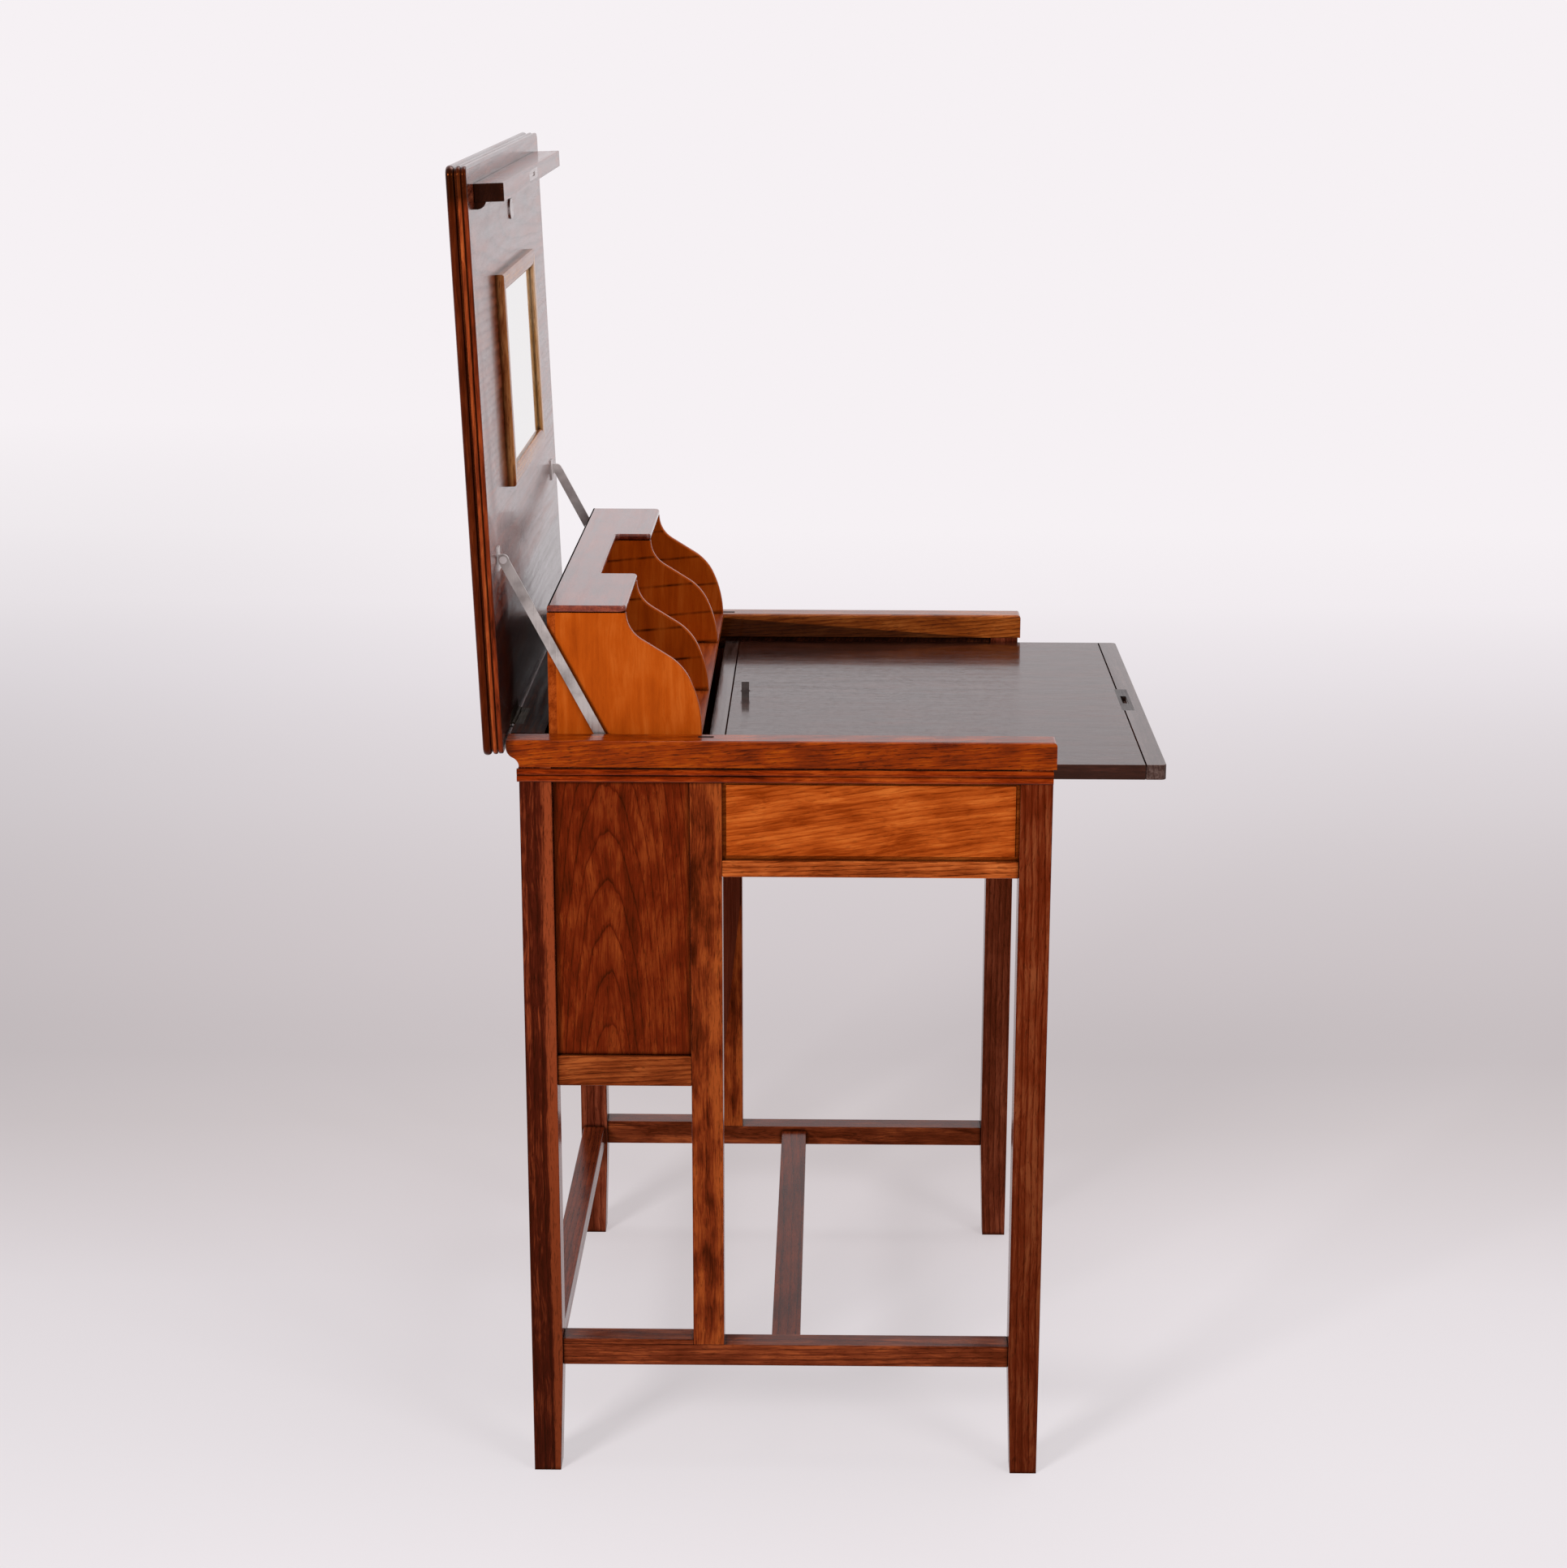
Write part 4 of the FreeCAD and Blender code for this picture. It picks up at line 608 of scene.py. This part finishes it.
# %% Finish each solid
FINISHES = {
    "leg_rear_left": oak["leg_rear_near"], "leg_rear_right": oak["leg_rear_far"],
    "leg_front_left": oak["leg_front_near"], "leg_front_right": oak["leg_front_far"],
    "mid_post_left": oak["post"], "mid_post_right": oak["post"],
    "side_stretcher_left": oak["stretcher"], "side_stretcher_right": oak["stretcher"],
    "stretcher_slips": oak["stretcher"], "rear_stretcher": oak["cross"], "cross_stretcher": oak["cross"],
    "box_panel_left": oak["panel_left"], "box_panel_right": oak["panel_right"],
    "box_rails": oak["rail"], "apron_panel_left": oak["apron"], "apron_panel_right": oak["apron"],
    "apron_rails": oak["apron_rail"], "box_back_rail": oak["cross"], "box_back_panel": oak["box_back"],
    "box_front_panel": oak["box_front"], "box_floor": oak["inside_cross"], "top_rails": oak["ledge"],
    "side_mouldings": oak["moulding"], "back_moulding": oak["back_moulding"],
    "cheek_left": oak["cheek"], "cheek_right": oak["cheek_far"], "cheek_plugs": oak["ledge"],
    "rear_ledge": oak["ledge"], "slide_runners": oak["inside"], "drawer_rail": oak["drawer_front"],
    "drawer_runners": oak["inside"], "rack_guides": oak["inside"],
    "lid_rail": oak["lid_rail"], "lid_rail_strip": oak["lid_rail"], "mirror_glass": silver,
    "rack_base": oak["rack_back"], "rack_back": oak["rack_back"],
    "drawer_front": oak["drawer_front"], "drawer_sides_and_back": oak["inside"],
    "drawer_bottom": oak["inside_cross"],
    # the far stay's paler steel is a painted light
    "stay_left": near_stay_steel, "stay_right": steel, "stay_brackets": steel, "rack_pivot_plates": steel,
    "hinge_desk_leaves": brass, "hinge_lid_leaves": brass, "hinge_pins": steel, "lock": bright_plate,
    "lock_bolt": steel, "catch_plate": bright_plate, "strike_plate": plate, "board_pull": nickel,
}
for name, finish in FINISHES.items():
    for slot in nodes[name].material_slots:
        slot.material = finish
print("to be built:", sorted(set(nodes) - set(FINISHES)))

# %% [markdown]
# ## Building a piece
# A new piece is a mesh made with bmesh. The helper turns it into an object, points its faces
# outward, smooths the soft edges while it keeps the sharp ones, and says what the piece rides
# on and which solids it stands for. The lid's pieces are drawn upright, in the plane of the lid
# measured from the hinge line, and then leaned back by what the hinge's swing has beyond a right
# angle. Sizes that the solids already have are read from their boxes.

# %% Helpers for new pieces
SHARP = math.radians(40)
lid_hinge = next(joint for joint in frame["joints"] if joint["name"] == "lid_hinge")
LID_LEAN = math.radians(lid_hinge["range_deg"][1] - 90)
LID_PLANE = Matrix.Translation(lid_hinge["pos_m"]) @ Matrix.Rotation(-LID_LEAN, 4, "X")


def box_mm(name):
    """The two corners of a solid's box, in mm."""
    return [[round(v / MM, 2) for v in corner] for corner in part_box(name)]


def new_piece(name, bm, finishes, body, stands_for=(), plane=None):
    """Turns a bmesh into a piece that rides on a body. Finishes are its materials in order."""
    if plane:
        bm.transform(plane)
    bmesh.ops.recalc_face_normals(bm, faces=bm.faces)
    mesh = bpy.data.meshes.new(name)
    bm.to_mesh(mesh)
    bm.free()
    mesh.polygons.foreach_set("use_smooth", [True] * len(mesh.polygons))
    mesh.set_sharp_from_angle(angle=SHARP)
    for finish in finishes:
        mesh.materials.append(finish)
    piece = bpy.data.objects.new(name, mesh)
    bpy.context.scene.collection.objects.link(piece)
    piece.modifiers.new("flat_faces_stay_flat", "WEIGHTED_NORMAL").keep_sharp = True
    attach(piece, body)
    if stands_for:
        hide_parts(*stands_for)
    print(name, "faces:", len(mesh.polygons), "rides on", body)
    return piece


def join(whole, part):
    """Adds one bmesh to another and frees it."""
    mesh = bpy.data.meshes.new("part")
    part.to_mesh(mesh)
    part.free()
    whole.from_mesh(mesh)
    bpy.data.meshes.remove(mesh)


def carve(piece, low, high, plane=None):
    """Cuts a box between two corners, in mm, out of a piece."""
    bm = bmesh.new()
    bmesh.ops.create_cube(bm, size=1.0)
    for vert in bm.verts:
        vert.co = Vector((b if c > 0 else a) * MM for c, a, b in zip(vert.co, low, high))
    if plane:
        bm.transform(plane)
    mesh = bpy.data.meshes.new("cutter")
    bm.to_mesh(mesh)
    bm.free()
    cutter = bpy.data.objects.new("cutter", mesh)
    bpy.context.scene.collection.objects.link(cutter)
    cutting = piece.modifiers.new("carve", "BOOLEAN")
    cutting.operation = "DIFFERENCE"
    cutting.solver = "EXACT"
    cutting.object = cutter
    graph = bpy.context.evaluated_depsgraph_get()
    carved = bpy.data.meshes.new_from_object(piece.evaluated_get(graph))
    carved.set_sharp_from_angle(angle=SHARP)
    piece.modifiers.remove(cutting)
    piece.data = carved
    bpy.data.objects.remove(cutter)


print("the lid's plane leans", round(math.degrees(LID_LEAN), 1), "degrees")

# %% [markdown]
# ## The lid
# The edge of the lid is what the eye follows up the side of the desk: a wide bead, a dark
# groove, a narrow bead and a thin lip. Its section is a short list of points, each an inset
# from the lid's edge and a depth through it. A rounded rectangle is drawn for every point and
# joined to the next, so the beads turn the corners of the lid as a router would take them.

# %% Lid panel
LID_LOW, LID_HIGH, LID_CORNER = -11, 542, 9
_, (LID_HALF_WIDE, *_) = box_mm("lid_panel")
CORNER_STEPS = 8
LID_SECTION = (
    ("panel", 4.2, 1.4), ("lip", 2.3, 1.45), ("lip", 1.4, 2.0), ("lip", 1.15, 3.2), ("lip", 1.15, 4.8),
    ("lip", 1.5, 5.6), ("groove", 2.6, 5.95), ("groove", 2.6, 6.5), ("bead", 1.4, 6.9), ("bead", 0.8, 7.7),
    ("bead", 0.6, 8.8), ("bead", 0.8, 9.9), ("bead", 1.4, 10.7), ("groove", 3.0, 11.2), ("groove", 3.0, 12.3),
    ("edge", 1.9, 12.8), ("edge", 0.9, 13.6), ("edge", 0.3, 14.8), ("edge", 0.0, 16.2), ("edge", 0.1, 17.6),
    ("edge", 0.6, 18.9), ("edge", 1.6, 19.9), ("panel", 3.2, 20.4))
LID_OAKS = [oak[name] for name in ("lid", "lid_lip", "lid_groove", "lid_bead", "lid_edge", "lid_ends")]
BANDS = {"panel": 0, "lip": 1, "groove": 2, "bead": 3, "edge": 4}
LID_ENDS = 5
LEAF_WIDE = 65
LEAF_BED_LOW, LEAF_BED_HIGH = (-2, -2.85), (2.5, 11.85)


def rounded_ring(inset):
    """Points round a rectangle with round corners, in the lid's plane, in mm."""
    wide, radius = LID_HALF_WIDE - inset, LID_CORNER - inset
    low, high = LID_LOW + inset, LID_HIGH - inset
    points = []
    for quarter, (x, z) in enumerate(((wide - radius, high - radius), (radius - wide, high - radius),
                                      (radius - wide, low + radius), (wide - radius, low + radius))):
        for step in range(CORNER_STEPS + 1):
            angle = (quarter + step / CORNER_STEPS) * math.pi / 2
            points.append((x + radius * math.cos(angle), z + radius * math.sin(angle)))
    return points


bm = bmesh.new()
rings = [[bm.verts.new((x * MM, depth * MM, z * MM)) for x, z in rounded_ring(inset)]
         for band, inset, depth in LID_SECTION]
bm.faces.new(rings[0])
bm.faces.new(rings[-1])
for (band, *_), ring, following in zip(LID_SECTION[1:], rings, rings[1:]):
    for i in range(len(ring)):
        j = (i + 1) % len(ring)
        face = bm.faces.new((ring[i], ring[j], following[j], following[i]))
        along_top = abs(ring[i].co.z - ring[j].co.z) < abs(ring[i].co.x - ring[j].co.x)
        face.material_index = LID_ENDS if along_top and band in ("lip", "bead", "edge") else BANDS[band]
lid = new_piece("moulded_lid", bm, LID_OAKS, "lid", ["lid_panel"], LID_PLANE)
# beds for the two hinge leaves, cut to a depth and a height in the lid's plane
(first_leaf, *_), (last_leaf, *_) = box_mm("hinge_lid_leaves")
for x in (first_leaf, last_leaf - LEAF_WIDE):
    carve(lid, (x, *LEAF_BED_LOW), (x + LEAF_WIDE, *LEAF_BED_HIGH), LID_PLANE)
print("lid", 2 * LID_HALF_WIDE, "by", LID_HIGH - LID_LOW, "mm")

# %% [markdown]
# ## The mirror's frame
# Four strips meet in mitres. Each strip is a closed solid with its own oak, because the grain
# turns at a mitre and the four pieces of the old frame have toned apart: the far upright is
# nearly gold, the near one brown. The section starts at the outer edge, rises, rounds over, and
# steps down at the inside where the glass sits in its rebate.

# %% Mitred frame
FRAME_HALF, FRAME_LOW, FRAME_HIGH = 145, 219, 427
FRAME_SECTION = ((0, 1.4), (0, -4.6), (0.5, -5.7), (1.4, -6.4), (2.6, -6.6), (12.2, -6.6), (14.6, -6.2),
                 (16.4, -5.0), (17, -3.6), (17, -2.1), (12, -2.1), (12, 1.4))
MITRE_GAP = 0.12
# the strips in turn, bottom, far, top and near: each runs from its own corner to the next
FRAME_OAKS = [oak[name] for name in ("frame_flat", "frame_far", "frame_flat", "frame_near")]
CORNERS = ((-1, 0), (1, 0), (1, 1), (-1, 1))
DIRECTIONS = ((1, 0), (0, 1), (-1, 0), (0, -1))

bm = bmesh.new()
for strip, (along_x, along_z) in enumerate(DIRECTIONS):
    ends = []
    for (side, top), gap in ((CORNERS[strip], MITRE_GAP), (CORNERS[(strip + 1) % 4], -MITRE_GAP)):
        ring = []
        for inset, depth in FRAME_SECTION:
            x = side * (FRAME_HALF - inset) + gap * along_x
            z = (FRAME_HIGH - inset if top else FRAME_LOW + inset) + gap * along_z
            ring.append(bm.verts.new((x * MM, depth * MM, z * MM)))
        ends.append(ring)
    faces = [bm.faces.new(ends[0]), bm.faces.new(ends[1])]
    for i in range(len(FRAME_SECTION)):
        j = (i + 1) % len(FRAME_SECTION)
        faces.append(bm.faces.new((ends[0][i], ends[0][j], ends[1][j], ends[1][i])))
    for face in faces:
        face.material_index = strip
new_piece("mitred_mirror_frame", bm, FRAME_OAKS, "lid", ["mirror_frame"], LID_PLANE)

# %% [markdown]
# ## The letter rack
# The rack is thin stuff, a quarter inch thick, and every edge that a hand touches is rounded. The
# outline of its top is a list of corners with a radius each. Where the path meets a corner it
# leaves the straight a little early and swings round. The outline is filled, thickened and its
# upper and lower edges are bevelled into the bullnose of the real board.

# %% Rack top
(_, WING_FRONT, RACK_TOP_LOW), (RACK_HALF, RACK_REAR, RACK_TOP_HIGH) = box_mm("rack_top")
RACK_STUFF = RACK_TOP_HIGH - RACK_TOP_LOW
NOTCH_HALF, NOTCH_REAR = 107, 191
BULLNOSE, NOSE_STEPS = 2.6, 4
LIES_ACROSS = 0.5


def soft_corners(corners, steps=6):
    """A closed path through corners (a, b, radius), each swung round on its radius."""
    path = []
    for i, (a, b, radius) in enumerate(corners):
        here = Vector((a, b))
        back = (Vector(corners[i - 1][:2]) - here).normalized()
        ahead = (Vector(corners[(i + 1) % len(corners)][:2]) - here).normalized()
        half = math.acos(max(-1, min(1, back.dot(ahead)))) / 2
        reach = radius / math.tan(half)
        centre = here + (back + ahead).normalized() * radius / math.sin(half)
        start, end = here + back * reach - centre, here + ahead * reach - centre
        turn = math.atan2(start.x * end.y - start.y * end.x, start.dot(end))
        for step in range(steps + 1):
            angle = turn * step / steps
            path.append(centre + Matrix.Rotation(angle, 2) @ start)
    return path


def thick_outline(path, low, high, to_place, edge_radius, chosen=None):
    """Fills a path of (a, b) in mm, gives it thickness and rounds the edges of its two faces."""
    bm = bmesh.new()
    face = bm.faces.new([bm.verts.new(Vector(to_place(a, b, low)) * MM) for a, b in path])
    raised = bmesh.ops.extrude_face_region(bm, geom=[face])["geom"]
    shift = (Vector(to_place(0, 0, high)) - Vector(to_place(0, 0, low))) * MM
    verts = [item for item in raised if isinstance(item, bmesh.types.BMVert)]
    bmesh.ops.translate(bm, verts=verts, vec=shift)
    direction = shift.normalized()
    rims = [edge for edge in bm.edges
            if abs((edge.verts[0].co - edge.verts[1].co).normalized().dot(direction)) < LIES_ACROSS
            and (chosen is None or chosen(edge))]
    bmesh.ops.bevel(bm, geom=rims, offset=edge_radius * MM, segments=NOSE_STEPS, profile=0.5,
                    affect="EDGES")
    return bm


# half of the outline, from the rear corner round the wing to the notch: x, y and corner radius
wing = [(RACK_HALF, RACK_REAR, 1), (RACK_HALF, WING_FRONT, 6), (NOTCH_HALF, WING_FRONT, 5),
        (NOTCH_HALF, NOTCH_REAR, 4)]
top_path = soft_corners([(-x, y, radius) for x, y, radius in wing] + wing[::-1])
bm = thick_outline(top_path, RACK_TOP_LOW, RACK_TOP_HIGH, lambda a, b, c: (a, b, c), BULLNOSE)
new_piece("notched_rack_top", bm, [oak["rack_top"]], "rack", ["rack_top"])

# %% [markdown]
# The four uprights share one outline: up the back, along under the top, and down an ogee front
# that is three arcs and a short straight. The front edges are nosed, which draws the thin pale
# line down each curve when light runs along it. The inner faces that look toward the viewer get a
# paler copy of the oak, a painted light, and carry the faint dark lines.

# %% Rack uprights
(_, RACK_FRONT, RACK_LOW), (_, BACK_FRONT, _) = box_mm("rack_sides")
TOE, LOW_RADIUS, MID_RADIUS, NECK_RADIUS = 5, 117, 55.2, 30.6
LOW_TURN, SLOPE = math.radians(24.9), math.radians(32.1)
NOSE = 2.0
FACES_LEFT, INNER_FROM = -0.9, -200
BACK_MARGIN, FOOT_MARGIN, TOP_MARGIN = 1, 1, 0.1


def arc(centre, radius, start, end, steps):
    """Points on an arc from one angle to another."""
    return [(centre[0] + radius * math.cos(start + (end - start) * i / steps),
             centre[1] + radius * math.sin(start + (end - start) * i / steps)) for i in range(steps + 1)]


toe_z = RACK_LOW + TOE
low_centre = (RACK_FRONT + LOW_RADIUS, toe_z)
low_end = (low_centre[0] - LOW_RADIUS * math.cos(LOW_TURN), toe_z + LOW_RADIUS * math.sin(LOW_TURN))
mid_centre = (low_end[0] + MID_RADIUS * math.cos(LOW_TURN), low_end[1] - MID_RADIUS * math.sin(LOW_TURN))
neck_centre = (WING_FRONT - NECK_RADIUS, RACK_TOP_LOW)
front = [(RACK_FRONT, RACK_LOW)]
front += arc(low_centre, LOW_RADIUS, math.pi, math.pi - LOW_TURN, 8)
front += arc(mid_centre, MID_RADIUS, math.pi - LOW_TURN, math.pi / 2 + SLOPE, 10)[1:]
front += arc(neck_centre, NECK_RADIUS, SLOPE - math.pi / 2, 0, 9)
side_path = [(BACK_FRONT, RACK_LOW)] + [(BACK_FRONT, RACK_TOP_LOW)] + front[::-1]


def is_front(edge):
    """True for the edges that follow the curved front."""
    middle = (edge.verts[0].co + edge.verts[1].co) / 2
    between = RACK_LOW + FOOT_MARGIN < middle.z / MM < RACK_TOP_LOW - TOP_MARGIN
    return middle.y < (BACK_FRONT - BACK_MARGIN) * MM and between


def uprights(name, node):
    """Two uprights in one piece, at the two ends of the solid that they stand for."""
    (left, *_), (right, *_) = box_mm(node)
    whole = bmesh.new()
    for low, high in ((left, left + RACK_STUFF), (right - RACK_STUFF, right)):
        join(whole, thick_outline(side_path, low, high, lambda a, b, c: (c, a, b), NOSE, is_front))
    for face in whole.faces:
        # faces inside the rack that look toward the viewer take the paler oak, a painted light
        inner = face.normal.x < FACES_LEFT and face.calc_center_median().x > INNER_FROM * MM
        face.material_index = int(inner)
    new_piece(name, whole, [oak["rack_side"], oak["rack_inner_painted_lit"]], "rack", [node])


uprights("nosed_rack_sides", "rack_sides")
uprights("nosed_rack_dividers", "rack_dividers")

# %% [markdown]
# ## The writing board
# The board is clamped: a cleat runs across each end to keep it flat. Old shrinkage has opened
# the two joints, which show as thin dark lines, so each of the three parts gets a small
# chamfer there. The front cleat has round corners, and the lock's strike plate is let in flush,
# over a slot for the bolt.

# %% Board and cleats
(_, BOARD_FRONT, BOARD_LOW), (BOARD_HALF, BOARD_REAR, BOARD_HIGH) = box_mm("board_cleats")
(_, FRONT_JOINT, _), (_, REAR_JOINT, _) = box_mm("writing_board")
BOARD_CORNER, JOINT, EASED_STEPS = 5, 0.8, 5
CUT_TOP = BOARD_HIGH + 1
BOLT_SLOT_LOW, BOLT_SLOT_HIGH = (-21, -355, 731), (11, -349, CUT_TOP)


def soft_board(bm, y_low, y_high, front_radius=1.0):
    """A board across the desk with its long and short edges eased."""
    path = soft_corners(((-BOARD_HALF, y_high, 1), (-BOARD_HALF, y_low, front_radius),
                         (BOARD_HALF, y_low, front_radius), (BOARD_HALF, y_high, 1)), EASED_STEPS)
    join(bm, thick_outline(path, BOARD_LOW, BOARD_HIGH, lambda a, b, c: (a, b, c), JOINT))
    for face in bm.faces:
        middle = face.calc_center_median() / MM
        from_joint = min(abs(middle.y - joint) for joint in (FRONT_JOINT, REAR_JOINT))
        face.material_index = int(middle.z > BOARD_HIGH - JOINT and from_joint < JOINT)
    return bm


bm = soft_board(bmesh.new(), FRONT_JOINT, REAR_JOINT)
board = new_piece("clamped_writing_board", bm, [oak["board"], oak["joint_dust"]], "writing_slide",
                  ["writing_board"])
bm = soft_board(bmesh.new(), BOARD_FRONT, FRONT_JOINT, BOARD_CORNER)
bm = soft_board(bm, REAR_JOINT, BOARD_REAR)
cleats = new_piece("eased_board_cleats", bm, [oak["cleat"], oak["joint_dust"]], "writing_slide",
                   ["board_cleats"])
strike_low, (*strike_far, _) = box_mm("strike_plate")
for piece in (board, cleats):
    carve(piece, strike_low, (*strike_far, CUT_TOP))
carve(cleats, BOLT_SLOT_LOW, BOLT_SLOT_HIGH)

# %% [markdown]
# ## The knob
# The drawer's knob is turned, so it is a lathe shape: a section spun about the knob's axis.

# %% Knob


def spin(section, place, axis, steps=32):
    """A closed lathe shape from (radius, height) points in mm, about an axis from a place."""
    bm = bmesh.new()
    rings = []
    for radius, height in section[1:-1]:
        rings.append([bm.verts.new((radius * MM * math.cos(2 * math.pi * i / steps),
                                    radius * MM * math.sin(2 * math.pi * i / steps), height * MM))
                      for i in range(steps)])
    first, last = (bm.verts.new((0, 0, section[i][1] * MM)) for i in (0, -1))
    for i in range(steps):
        j = (i + 1) % steps
        bm.faces.new((first, rings[0][j], rings[0][i]))
        bm.faces.new((last, rings[-1][i], rings[-1][j]))
        for ring, following in zip(rings, rings[1:]):
            bm.faces.new((ring[i], ring[j], following[j], following[i]))
    turn = Vector(axis).to_track_quat("Z", "Y").to_matrix().to_4x4()
    bm.transform(Matrix.Translation(Vector(place) * MM) @ turn)
    return bm


(*_, knob_low), (_, knob_rear, knob_high) = box_mm("drawer_knob")
KNOB = ((0, 0), (5.2, 0), (5.0, 0.8), (4.0, 1.6), (3.4, 3.4), (3.7, 5.2), (5.4, 6.6), (7.4, 8.0), (8.0, 9.8),
        (7.6, 11.6), (5.8, 13.2), (3.0, 13.9), (0, 14))
bm = spin(KNOB, (0, knob_rear, (knob_low + knob_high) / 2), (0, -1, 0))
new_piece("turned_drawer_knob", bm, [oak["cleat"]], "drawer", ["drawer_knob"])
